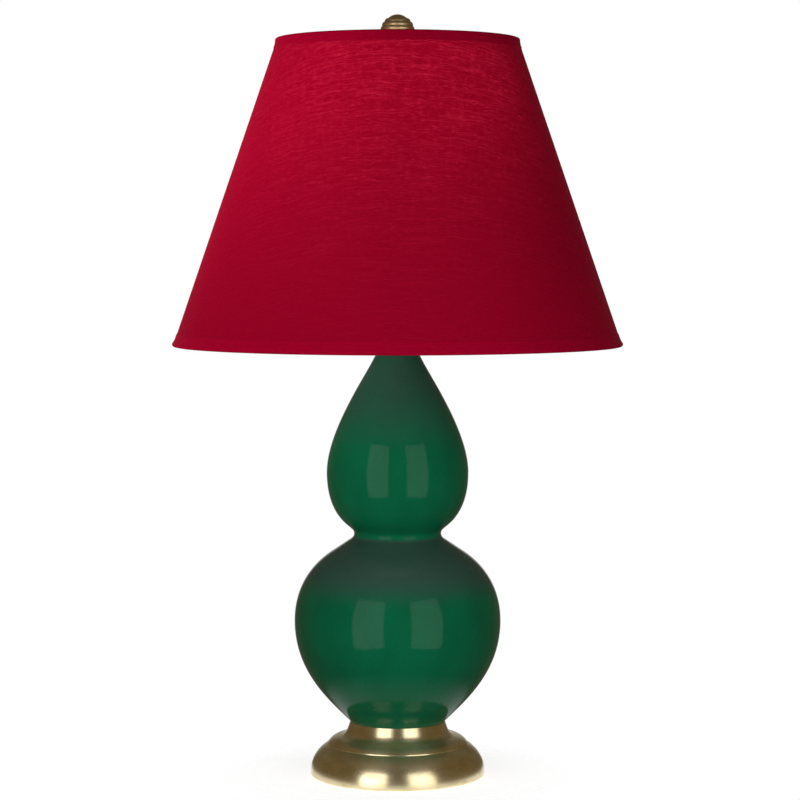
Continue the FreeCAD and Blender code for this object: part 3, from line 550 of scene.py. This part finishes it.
def cast_brass(look):
    """Cast brass finial under brown lacquer: dark in the grooves, rubbed on the ribs."""
    material, tree = new_material("cast_antique_brass")
    grain = add(tree, "TexNoise", {"Vector": in_mm(tree, CAST_GRAIN), "Scale": 1.0, "Detail": 5.0,
                                   "Roughness": 0.65})
    pointed = add(tree, "NewGeometry").outputs["Pointiness"]
    rib = add(tree, "MapRange", [pointed, *CAST_GROOVE])
    wear = add(tree, "MapRange", [grain, *CAST_WEAR])
    rubbed = add(tree, "Math", [rib, wear], operation="MULTIPLY")
    colour = add(tree, "Mix", {
        "Factor": rubbed, 6: linear(look.finial_patina), 7: linear(look.finial_colour)}, data_type="RGBA")
    rough = add(tree, "MapRange", [grain, *NOISE_MIDDLE, *CAST_ROUGHNESS])
    bump = add(tree, "Bump", {"Height": grain, "Distance": 0.05 * MM, "Strength": 0.3})
    metal = add(tree, "BsdfPrincipled", {
        "Base Color": colour, "Metallic": 1.0, "Roughness": rough, "Normal": bump})
    add(tree, "OutputMaterial", {"Surface": metal})
    return material


class LAMP_OT_brassware(bpy.types.Operator):
    """Finishes the base, cap, neck, nuts, harp, saddle, ferrules, spider and finial"""
    bl_idname = "lamp.brassware"
    bl_label = "Brassware"

    def execute(self, context):
        look = context.scene.lamp_brass
        dress(spun_brass(look), "brass_base", "vase_cap", "neck")
        # Brass-plated wire and strip: smooth, a little brighter than the base.
        wire = drawn_brass("plated_brass_wire", look.colour, look.patina, *PLATED_WIRE)
        dress(wire, "locknut", "harp_saddle", "harp", "harp_stud", "ferrule_left", "ferrule_right",
              "spider_fitter")
        dress(cast_brass(look), "finial")
        return {"FINISHED"}


# ---------------------------------------------------------------- foot and rod

FELT_FIBRE = 0.8
IRON_GRIT = 1.2
ZINC_CLOUD = 5.0
ZINC_ROUGHNESS = (0.28, 0.40)
MOULD_GRAIN = (0.35, 0.65)
MOULD_ROUGHNESS_SPAN = 0.1


def wool_felt():
    """Pressed wool felt: matt, fibrous, deep green."""
    material, tree = new_material("pressed_wool_felt")
    # Wool fibres are about 0.03 mm thick, too fine to show, so they are drawn as coarse tufts.
    fibre = add(tree, "TexNoise", {"Vector": in_mm(tree, FELT_FIBRE), "Scale": 1.0, "Detail": 6.0,
                                   "Roughness": 0.7, "Distortion": 0.6})
    tuft = add(tree, "MapRange", [fibre, *NOISE_MIDDLE])
    colour = add(tree, "Mix", {"Factor": tuft, 6: linear("#1B2E24"), 7: linear("#33503F")},
                 data_type="RGBA")
    bump = add(tree, "Bump", {"Height": fibre, "Distance": 0.3 * MM, "Strength": 0.8})
    cloth = add(tree, "BsdfPrincipled", {
        "Base Color": colour, "Roughness": 0.95, "Sheen Weight": 0.4, "Sheen Roughness": 0.6,
        "Specular IOR Level": 0.2, "Normal": bump})
    add(tree, "OutputMaterial", {"Surface": cloth})
    return material


def cast_iron():
    """Sand-cast iron under thin grey primer: grainy, dull."""
    material, tree = new_material("sand_cast_iron")
    # The sand's grains are about 0.3 mm, too fine to show, so they are drawn coarser.
    grit = add(tree, "TexNoise", {"Vector": in_mm(tree, IRON_GRIT), "Scale": 1.0, "Detail": 6.0,
                                  "Roughness": 0.7})
    pit = add(tree, "MapRange", [grit, *NOISE_MIDDLE])
    colour = add(tree, "Mix", {"Factor": pit, 6: linear("#2E2F30"), 7: linear("#4C4D4E")},
                 data_type="RGBA")
    bump = add(tree, "Bump", {"Height": grit, "Distance": 0.4 * MM, "Strength": 0.7})
    metal = add(tree, "BsdfPrincipled", {
        "Base Color": colour, "Metallic": 0.7, "Roughness": 0.72, "Normal": bump})
    add(tree, "OutputMaterial", {"Surface": metal})
    return material


def plated_steel():
    """Zinc-plated steel: cool and slightly clouded."""
    material, tree = new_material("zinc_plated_steel")
    cloud = add(tree, "TexNoise", {"Vector": in_mm(tree, ZINC_CLOUD), "Scale": 1.0, "Detail": 4.0})
    colour = add(tree, "Mix", {"Factor": cloud, 6: linear("#A9ACB0"), 7: linear("#C9CBCE")},
                 data_type="RGBA")
    rough = add(tree, "MapRange", [cloud, *NOISE_MIDDLE, *ZINC_ROUGHNESS])
    bump = add(tree, "Bump", {"Height": cloud, "Distance": 0.02 * MM, "Strength": 0.3})
    metal = add(tree, "BsdfPrincipled", {
        "Base Color": colour, "Metallic": 1.0, "Roughness": rough, "Normal": bump})
    add(tree, "OutputMaterial", {"Surface": metal})
    return material


def moulded(name, colour, light_colour, smoothest, grain_mm):
    """Moulded rubber, nylon or phenolic: one dark colour, the rubber dull and the phenolic glossiest.

    The mould's grain is too fine to show, so grain_mm is coarser than the real one.
    """
    material, tree = new_material(name)
    grain = add(tree, "TexNoise", {"Vector": in_mm(tree, grain_mm), "Scale": 1.0, "Detail": 4.0})
    mottle = add(tree, "MapRange", [grain, *MOULD_GRAIN])
    tone = add(tree, "Mix", {"Factor": mottle, 6: linear(colour), 7: linear(light_colour)},
               data_type="RGBA")
    rough = add(tree, "MapRange", [grain, *NOISE_MIDDLE, smoothest, smoothest + MOULD_ROUGHNESS_SPAN])
    bump = add(tree, "Bump", {"Height": grain, "Distance": 0.05 * MM, "Strength": 0.4})
    body = add(tree, "BsdfPrincipled", {"Base Color": tone, "Roughness": rough, "Normal": bump})
    add(tree, "OutputMaterial", {"Surface": body})
    return material


GASKET_W = 14.0 * MM
GASKET_SEGMENTS = 192
GASKET_EDGE_STEPS = 8
FELT_SEGMENTS = 720
FELT_EDGE_STEPS = 4
FELT_RINGS = (0.0, 20.0 * MM, 40.0 * MM, 60.0 * MM, 74.0 * MM)
FELT_EDGE_ROUND = 0.5 * MM
FELT_RAGGED = 0.25 * MM
FELT_TUFT = 3.0 * MM


def felt_disc(material):
    """Die-cut felt glued into the foot: a soft, slightly ragged edge."""
    low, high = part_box("felt_pad")
    edge = high.x - FELT_EDGE_ROUND
    bottom = [(radius, low.z) for radius in FELT_RINGS]
    side = arc_points((edge, low.z + FELT_EDGE_ROUND), FELT_EDGE_ROUND, -90, 0, FELT_EDGE_STEPS)
    side += arc_points((edge, high.z - FELT_EDGE_ROUND), FELT_EDGE_ROUND, 0, 90, FELT_EDGE_STEPS)
    top = [(radius, high.z) for radius in reversed(FELT_RINGS)]

    def ragged(angle, z):
        place = Vector((math.cos(angle), math.sin(angle), 0.0)) * high.x / FELT_TUFT
        return FELT_RAGGED * (noise.noise(place + Vector((0.0, 0.0, z / MM))) - 1.0)

    builder = turned(bottom + side + top, FELT_SEGMENTS, ragged)
    piece = mesh_piece("felt_disc", builder, material, "lamp", ["felt_pad"])


def rubber_ring(material):
    """The ring that beds the gourd in the collar, its edges swelling a little under the load."""
    low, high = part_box("seat_gasket")
    middle = (low.z + high.z) / 2
    swell = (high.z - low.z) / 2
    inner = high.x - GASKET_W + swell
    outline = arc_points((high.x - swell, middle), swell, -90, 90, GASKET_EDGE_STEPS)
    outline += arc_points((inner, middle), swell, 90, 270, GASKET_EDGE_STEPS)
    builder = turned(outline, GASKET_SEGMENTS)
    mesh_piece("bedding_ring", builder, material, "lamp", ["seat_gasket"])


class LAMP_OT_foot(bpy.types.Operator):
    """Finishes what the base holds: felt, weight, bushing, gasket, rod and nuts"""
    bl_idname = "lamp.foot"
    bl_label = "Foot and rod"

    def execute(self, context):
        felt_disc(wool_felt())
        rubber_ring(moulded("moulded_rubber", "#1A1A1A", "#242424", smoothest=0.62, grain_mm=0.6))
        dress(cast_iron(), "base_weight")
        nylon = moulded("moulded_nylon", "#131314", "#1C1C1D", smoothest=0.38, grain_mm=0.9)
        dress(nylon, "cord_bushing")
        dress(plated_steel(), "lamp_rod", "rod_nut", "rod_washer", "set_screw", "shade_bottom_ring")
        return {"FINISHED"}


# ---------------------------------------------------------------- socket, switch and bulb

PAPER_FIBRE = (0.6, 3.0)
ALUMINIUM_LINE = (6.0, 0.35)
ALUMINIUM_ROUGHNESS = (0.18, 0.30)
GLASS_POWDER = 7.0


def fibre_paper():
    """Vulcanised paper sleeve: brown, slightly waxy, with pressed fibres."""
    material, tree = new_material("vulcanised_paper")
    # Paper fibres are about 0.03 mm thick, too fine to show, so they are drawn coarser.
    fibre = add(tree, "TexNoise", {"Vector": in_mm(tree, *PAPER_FIBRE), "Scale": 1.0, "Detail": 5.0})
    streak = add(tree, "MapRange", [fibre, *NOISE_MIDDLE])
    colour = add(tree, "Mix", {"Factor": streak, 6: linear("#7A5A3C"), 7: linear("#9C7A56")},
                 data_type="RGBA")
    bump = add(tree, "Bump", {"Height": fibre, "Distance": 0.05 * MM, "Strength": 0.5})
    sheet = add(tree, "BsdfPrincipled", {"Base Color": colour, "Roughness": 0.6, "Normal": bump})
    add(tree, "OutputMaterial", {"Surface": sheet})
    return material


def rolled_aluminium():
    """Thin rolled aluminium of the lamp cap: bright, with fine draw lines."""
    material, tree = new_material("rolled_aluminium")
    # Draw lines are less than 0.1 mm apart, too fine to show, so they are drawn coarser.
    line = add(tree, "TexNoise", {"Vector": in_mm(tree, *ALUMINIUM_LINE), "Scale": 1.0, "Detail": 3.0})
    colour = add(tree, "Mix", {"Factor": line, 6: linear("#C9CACC"), 7: linear("#E2E3E4")},
                 data_type="RGBA")
    rough = add(tree, "MapRange", [line, *NOISE_MIDDLE, *ALUMINIUM_ROUGHNESS])
    metal = add(tree, "BsdfPrincipled", {"Base Color": colour, "Metallic": 1.0, "Roughness": rough})
    add(tree, "OutputMaterial", {"Surface": metal})
    return material


def coated_glass():
    """Bulb glass with a white powder coat inside: milky, with a clean outer gloss."""
    material, tree = new_material("white_coated_glass")
    powder = add(tree, "TexNoise", {"Vector": in_mm(tree, GLASS_POWDER), "Scale": 1.0, "Detail": 3.0})
    colour = add(tree, "Mix", {"Factor": powder, 6: linear("#ECEAE4"), 7: linear("#F7F6F2")},
                 data_type="RGBA")
    glass = add(tree, "BsdfPrincipled", {
        "Base Color": colour, "Roughness": 0.45, "Coat Weight": 1.0, "Coat Roughness": 0.04, "IOR": 1.5})
    add(tree, "OutputMaterial", {"Surface": glass})
    return material


THREAD_PITCH = 25.4 / 7 * MM
THREAD_DEPTH = 0.8 * MM
THREAD_STEP = 0.3 * MM
THREAD_RUN_OUT = 1.6 * MM
THREAD_SEGMENTS = 96
SCREW_SHELL_T = 0.4 * MM


def rolled_thread(low, high, depth):
    """How far a right-hand rolled thread moves the wall at an angle and height, dying out at both ends."""
    def wave(angle, z):
        turn = (z - low) / THREAD_PITCH - angle / math.tau
        ends = min(z - low, high - z) / THREAD_RUN_OUT
        fade = min(max(ends, 0.0), 1.0)
        return depth * fade * (0.5 - 0.5 * math.cos(math.tau * turn))
    return wave


def wall(radius, low, high):
    """Points up a straight wall, close enough to carry the thread."""
    count = round((high - low) / THREAD_STEP)
    return [(radius, low + (high - low) * i / count) for i in range(count + 1)]


def threaded_cap(material):
    """The bulb's thin screw cap, its thread rolled inwards from the crests."""
    low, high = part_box("bulb_base")
    outline = [(0.0, low.z), *wall(high.x, low.z, high.z), (0.0, high.z)]
    builder = turned(outline, THREAD_SEGMENTS, rolled_thread(low.z, high.z, -THREAD_DEPTH))
    mesh_piece("bulb_screw_cap", builder, material, "bulb", ["bulb_base"])


def threaded_shell(material):
    """The socket's screw shell, its thread rolled outwards so that the cap turns freely in it."""
    low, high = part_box("screw_shell")
    outside = wall(high.x, low.z, high.z)
    inside = wall(high.x - SCREW_SHELL_T, low.z, high.z)
    outline = outside + inside[::-1]
    builder = turned(outline, THREAD_SEGMENTS, rolled_thread(low.z, high.z, THREAD_DEPTH))
    mesh_piece("rolled_screw_shell", builder, material, "lamp", ["screw_shell"])


class LAMP_OT_socket(bpy.types.Operator):
    """Finishes the socket, its switch and the bulb"""
    bl_idname = "lamp.socket"
    bl_label = "Socket, switch and bulb"

    def execute(self, context):
        black = moulded("moulded_phenolic", "#17130F", "#221C17", smoothest=0.30, grain_mm=1.4)
        # Stamped and lacquered shell: the brightest and yellowest brass.
        shell = drawn_brass("stamped_lacquered_brass", "#DCC68C", "#B79A5C", *STAMPED_SHELL)
        dress(shell, "socket_cap", "socket_shell", "terminal_screws", "centre_contact", "switch_shaft",
              "bulb_contact")
        dress(fibre_paper(), "socket_liner")
        dress(black, "socket_core", "switch_knob", "bulb_insulator")
        aluminium = rolled_aluminium()
        threaded_cap(aluminium)
        threaded_shell(aluminium)
        dress(coated_glass(), "bulb_glass")
        return {"FINISHED"}


# ---------------------------------------------------------------- shade

SHADE_RISE = 314.0 * MM
SHADE_TOP_R = 123.1 * MM
SHADE_BOTTOM_R = 230.8 * MM
LEAN = math.atan2(SHADE_BOTTOM_R - SHADE_TOP_R, SHADE_RISE)
SLANT = SHADE_RISE / math.cos(LEAN)
CLOTH_T = 0.6 * MM
LINING_T = 0.8 * MM
PANEL_T = CLOTH_T + LINING_T
RING_R = 1.5 * MM
WRAP_GAP = 0.2 * MM
BAND_T = 0.6 * MM
BAND_LAP_T = 0.5 * MM
BAND_CUT_T = 0.8 * BAND_LAP_T
ROLL_R = RING_R + WRAP_GAP + BAND_T
BOTTOM_HEM = 13.0 * MM
TOP_HEM = 11.0 * MM
INNER_HEM = 8.0 * MM
HEM_FLARE = 6.5 * MM
CLOTH_END = ROLL_R + RING_R
CLOTH_LOW, CLOTH_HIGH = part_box("shade_fabric")
EDGE_R = CLOTH_HIGH.x + CLOTH_END * math.sin(LEAN)
EDGE_Z = CLOTH_LOW.z + CLOTH_T * math.sin(LEAN) - CLOTH_END * math.cos(LEAN)
CLOTH_ROWS = 40
LINING_ROWS = 24
ROLL_STEPS = 16
MOUTH_STEPS = 12
SHARP_EDGE = math.radians(40)


def on_cone(s, n):
    """Radius and height at s up the slant from the bottom edge and n out of the cloth."""
    radius = EDGE_R - s * math.sin(LEAN) + n * math.cos(LEAN)
    return radius, EDGE_Z + s * math.cos(LEAN) + n * math.sin(LEAN)


def laid_flat(s, angle):
    """Where a point of the cone lies in the flat cloth, which is straight to the grain in front."""
    reach = on_cone(s, 0)[0] / math.sin(LEAN)
    turn = angle * math.sin(LEAN)
    return reach * math.sin(turn), reach * math.cos(turn)


def skin(columns, rows, point, flat, closed=True, rolled=False):
    """A grid wound round the shade, with its flat coordinates as a UV map.

    A closed grid meets itself at the back, and a rolled one also joins its last row to its first.
    """
    builder = bmesh.new()
    uv = builder.loops.layers.uv.new("flat")
    levels = rows if rolled else rows + 1
    verts = [[builder.verts.new(point(i / columns, j / rows)) for j in range(levels)]
             for i in range(columns if closed else columns + 1)]
    for i in range(columns):
        for j in range(rows):
            right = (i + 1) % len(verts)
            above = (j + 1) % levels
            face = builder.faces.new((verts[i][j], verts[right][j], verts[right][above], verts[i][above]))
            face.smooth = True
            corners = ((i, j), (i + 1, j), (i + 1, j + 1), (i, j + 1))
            for loop, (a, b) in zip(face.loops, corners):
                loop[uv].uv = flat(a / columns, b / rows)
    return builder


def cloth_coordinates(tree):
    """Flat cloth coordinates in millimetres: weft along X, warp along Y."""
    flat = add(tree, "UVMap", uv_map="flat")
    return add(tree, "VectorMath", {0: flat, "Scale": 1 / MM}, operation="SCALE")


SWAY = (18.0, 8.0)
SWAY_REACH = (2.0, 6.0, 0.0)
# Lengths of the streaks as shares of the slub length, their widths, and their levels in the noise.
LONG_SHARE = 1.4
LONG_WIDTH = 1.8
LONG_STREAK = (0.48, 0.70)
SHORT_SHARE = 0.2
SHORT_WIDTH = 1.7
SHORT_STREAK = (0.50, 0.70)
WARP_SHARE = 0.5
WARP_WIDTH = 1.4
WARP_STREAK = (0.58, 0.82, 0.0, 0.5)
# The wave texture repeats once in a unit at this scale.
WAVE_RATE = math.tau / 20
# What the slubs do to the tone, the relief and the light that comes through.
TONE_FULL = 1.4
RELIEF_SHARE = 0.25
GLOW_FULL = 1.8
CLOSE_WEAVE = 0.60
LOOSE_WEAVE = 2.4


def slub_pattern(tree, flat, look):
    """Thick and thin places in hand-fed yarn: long wavering streaks along the weft, a few up the warp."""
    swayed = add(tree, "Mapping", {"Vector": flat, "Scale": (1 / SWAY[0], 1 / SWAY[1], 1)})
    sway = add(tree, "TexNoise", {"Vector": swayed, "Scale": 1.0, "Detail": 1.0}).outputs["Color"]
    bent = add(tree, "VectorMath", [sway, SWAY_REACH, flat], operation="MULTIPLY_ADD")
    length = look.slub_length / MM
    streaks = []
    for weft, warp, detail, rough, levels in (
            (length * LONG_SHARE, LONG_WIDTH, 2.0, 0.6, LONG_STREAK),
            (length * SHORT_SHARE, SHORT_WIDTH, 2.0, 0.6, SHORT_STREAK),
            (WARP_WIDTH, length * WARP_SHARE, 1.0, 0.5, WARP_STREAK)):
        place = add(tree, "Mapping", {"Vector": bent, "Scale": (1 / weft, 1 / warp, 1)})
        yarn = add(tree, "TexNoise", {"Vector": place, "Scale": 1.0, "Detail": detail, "Roughness": rough})
        streaks.append(add(tree, "MapRange", [yarn, *levels]))
    along = add(tree, "Math", streaks[:2], operation="ADD")
    return add(tree, "Math", [streaks[2], along], operation="ADD")


def weave_height(tree, flat, look):
    """Plain weave: bumps where the threads cross over, in a checker."""
    rate = WAVE_RATE / (2 * look.thread / MM)
    across = add(tree, "TexWave", {"Vector": flat, "Scale": rate}, bands_direction="X").outputs["Fac"]
    along = add(tree, "TexWave", {"Vector": flat, "Scale": rate}, bands_direction="Y").outputs["Fac"]
    return add(tree, "Math", [across, along], operation="MULTIPLY")


def dyed_cotton(look, name, through, slub_tone, density):
    """Dyed plain-weave cotton with slubs: matt, and glowing where lit from inside, most where it is loose.

    slub_tone is how much more a loose place reflects, and is negative where it reflects less.
    """
    material, tree = new_material(name)
    flat = cloth_coordinates(tree)
    slub = slub_pattern(tree, flat, look)
    weave = weave_height(tree, flat, look)
    tones = (density * (1 - slub_tone), density * (1 + slub_tone))
    tone = add(tree, "MapRange", [slub, 0.0, TONE_FULL, *tones])
    colour = add(tree, "VectorMath", {0: linear(look.cloth_colour)[:3], "Scale": tone}, operation="SCALE")
    relief = add(tree, "Math", [slub, RELIEF_SHARE, weave], operation="MULTIPLY_ADD")
    bump = add(tree, "Bump", {"Height": relief, "Distance": 0.06 * MM, "Strength": 0.3})
    face = add(tree, "BsdfPrincipled", {
        "Base Color": colour, "Roughness": 0.85, "Specular IOR Level": 0.01,
        "Sheen Weight": 0.03, "Sheen Roughness": 0.35, "Normal": bump})
    close_woven = [CLOSE_WEAVE * c for c in linear(look.glow_colour)[:3]]
    opened = add(tree, "MapRange", [slub, 0.0, GLOW_FULL, 0.0, LOOSE_WEAVE])
    loose = add(tree, "VectorMath", {0: linear(look.slub_glow_colour)[:3], "Scale": opened},
                operation="SCALE")
    glow = add(tree, "VectorMath", [loose, close_woven], operation="ADD")
    passing = add(tree, "BsdfTranslucent", {"Color": glow})
    both = add(tree, "MixShader", [through, face, passing])
    add(tree, "OutputMaterial", {"Surface": both})
    return material


STYRENE_HAZE = 40.0
STYRENE_GRAIN = 1.5
STYRENE_THROUGH = 0.5


def styrene(look):
    """White styrene sheet behind the cloth: satin, lets light through."""
    material, tree = new_material("white_styrene")
    haze = add(tree, "TexNoise", {"Vector": in_mm(tree, STYRENE_HAZE), "Scale": 1.0, "Detail": 3.0})
    colour = add(tree, "Mix", {"Factor": haze, 6: linear(look.lining_colour), 7: linear("#E9E4D8")},
                 data_type="RGBA")
    grain = add(tree, "TexNoise", {"Vector": in_mm(tree, STYRENE_GRAIN), "Scale": 1.0})
    bump = add(tree, "Bump", {"Height": grain, "Distance": 0.02 * MM, "Strength": 0.4})
    face = add(tree, "BsdfPrincipled", {"Base Color": colour, "Roughness": 0.42, "Normal": bump})
    passing = add(tree, "BsdfTranslucent", {"Color": linear("#F4EFE4")})
    both = add(tree, "MixShader", [STYRENE_THROUGH, face, passing])
    add(tree, "OutputMaterial", {"Surface": both})
    return material


def wound_once(t, s, lap):
    """Angle from the front at share t of the cloth, which laps over itself at the back."""
    return -math.pi + t * (math.tau + lap / on_cone(s, 0)[0])


class LAMP_OT_shade_cloth(bpy.types.Operator):
    """Wraps the cone in cloth, with a lapped seam at the back"""
    bl_idname = "lamp.shade_cloth"
    bl_label = "Shade cloth"

    def execute(self, context):
        look = context.scene.lamp_shade
        reach = SLANT - 2 * CLOTH_END

        def point(t, h):
            s = CLOTH_END + h * reach
            angle = wound_once(t, s, look.lap)
            past = angle - math.pi + 2 * look.lap / on_cone(s, 0)[0]
            lift = min(max(past * on_cone(s, 0)[0] / look.lap, 0.0), 1.0)
            radius, z = on_cone(s, CLOTH_T * lift * lift * (3 - 2 * lift))
            return round_front(angle, radius, z)

        def flat(t, h):
            s = CLOTH_END + h * reach
            return laid_flat(s, wound_once(t, s, look.lap))

        builder = skin(look.columns, CLOTH_ROWS, point, flat, closed=False)
        material = dyed_cotton(look, "dyed_slub_cotton", through=0.18, slub_tone=-0.20, density=1.01)
        mesh_piece("shade_cloth", builder, material, "shade", ["shade_fabric"])
        return {"FINISHED"}


class LAMP_OT_shade_lining(bpy.types.Operator):
    """Bends the styrene cone that carries the cloth"""
    bl_idname = "lamp.shade_lining"
    bl_label = "Shade lining"

    def execute(self, context):
        look = context.scene.lamp_shade
        reach = SLANT - 2 * CLOTH_END

        def point(t, h):
            s = CLOTH_END + h * reach
            radius, z = on_cone(s, -PANEL_T)
            return round_front(-math.pi + t * math.tau, radius, z)

        def flat(t, h):
            return laid_flat(CLOTH_END + h * reach, -math.pi + t * math.tau)

        builder = skin(look.columns, LINING_ROWS, point, flat)
        mesh_piece("shade_lining", builder, styrene(look), "shade", ["shade_liner"])
        return {"FINISHED"}


def band_section(hem):
    """Outline of a rolled edge as (s, n): outer lap, round of the wire, inner lap, and back inside."""
    middle = -PANEL_T / 2
    inner_r = RING_R + WRAP_GAP
    mouth = math.degrees(math.asin(-middle / inner_r))
    outside = [(hem, 0), (hem, BAND_CUT_T), (hem - BAND_LAP_T, BAND_LAP_T), (HEM_FLARE, BAND_LAP_T)]
    outside += arc_points((ROLL_R, middle), ROLL_R, 90, 270, ROLL_STEPS)
    lap = -PANEL_T - BAND_LAP_T
    inside = [(HEM_FLARE, lap), (INNER_HEM, lap), (INNER_HEM, -PANEL_T)]
    inside += arc_points((ROLL_R, middle), inner_r, 360 - mouth, mouth, MOUTH_STEPS)
    return outside + inside


def edge_band(name, edge_s, up, hem, look, material, node):
    """A strip of the same cloth rolled round an edge ring."""
    section = band_section(hem)
    lengths = [0.0]
    for a, b in zip(section, section[1:] + section[:1]):
        lengths.append(lengths[-1] + math.dist(a, b))
    rows = len(section)
    ring = on_cone(edge_s, 0)[0]

    def point(t, h):
        s, n = section[round(h * rows)]
        radius, z = on_cone(edge_s + up * s, n)
        return round_front(-math.pi + t * math.tau, radius, z)

    def flat(t, h):
        return t * math.tau * ring, lengths[round(h * rows)]

    builder = skin(look.columns, rows, point, flat, rolled=True)
    if up > 0:
        bmesh.ops.reverse_faces(builder, faces=builder.faces)
    piece = mesh_piece(name, builder, material, "shade", [node])
    piece.data.set_sharp_from_angle(angle=SHARP_EDGE)
    return piece


class LAMP_OT_shade_edges(bpy.types.Operator):
    """Rolls the self-cloth bands round the top and bottom rings"""
    bl_idname = "lamp.shade_edges"
    bl_label = "Shade edges"

    def execute(self, context):
        look = context.scene.lamp_shade
        cloth = dyed_cotton(look, "rolled_slub_cotton", through=0.08, slub_tone=0.03, density=1.28)
        bands = [edge_band("shade_edge_bottom", 0.0, 1, BOTTOM_HEM, look, cloth, "shade_bottom_trim"),
                 edge_band("shade_edge_top", SLANT, -1, TOP_HEM, look, cloth, "shade_top_trim")]
        outer, inner = (on_cone(s, 0)[0] / math.sin(LEAN) for s in (CLOTH_END, SLANT - CLOTH_END))
        return {"FINISHED"}


# ---------------------------------------------------------------- panel and run

OPERATORS = (LAMP_OT_stage, LAMP_OT_gourd, LAMP_OT_brassware, LAMP_OT_foot, LAMP_OT_socket,
             LAMP_OT_shade_cloth, LAMP_OT_shade_lining, LAMP_OT_shade_edges)
SETTINGS = {"lamp_stage": StageSettings, "lamp_glaze": GlazeSettings, "lamp_brass": BrassSettings,
            "lamp_shade": ShadeSettings}


class LAMP_PT_build(bpy.types.Panel):
    """Lists the lamp's settings and the pieces to build"""
    bl_label = "Gourd lamp"
    bl_idname = "LAMP_PT_build"
    bl_space_type = "VIEW_3D"
    bl_region_type = "UI"
    bl_category = "Lamp"

    def draw(self, context):
        for key in SETTINGS:
            group = getattr(context.scene, key)
            box = self.layout.box()
            for name in group.bl_rna.properties.keys():
                if name not in ("rna_type", "name"):
                    box.prop(group, name)
        for operator in OPERATORS:
            self.layout.operator(operator.bl_idname)


def register():
    for group in SETTINGS.values():
        bpy.utils.register_class(group)
    for key, group in SETTINGS.items():
        setattr(bpy.types.Scene, key, PointerProperty(type=group))
    for item in (*OPERATORS, LAMP_PT_build):
        bpy.utils.register_class(item)


def unregister():
    for item in reversed((*OPERATORS, LAMP_PT_build)):
        bpy.utils.unregister_class(item)
    for key, group in SETTINGS.items():
        delattr(bpy.types.Scene, key)
        bpy.utils.unregister_class(group)


def main():
    """Builds every piece in order."""
    register()
    bpy.ops.lamp.stage()
    bpy.ops.lamp.gourd()
    bpy.ops.lamp.brassware()
    bpy.ops.lamp.foot()
    bpy.ops.lamp.socket()
    bpy.ops.lamp.shade_cloth()
    bpy.ops.lamp.shade_lining()
    bpy.ops.lamp.shade_edges()


if __name__ == "__main__":
    main()
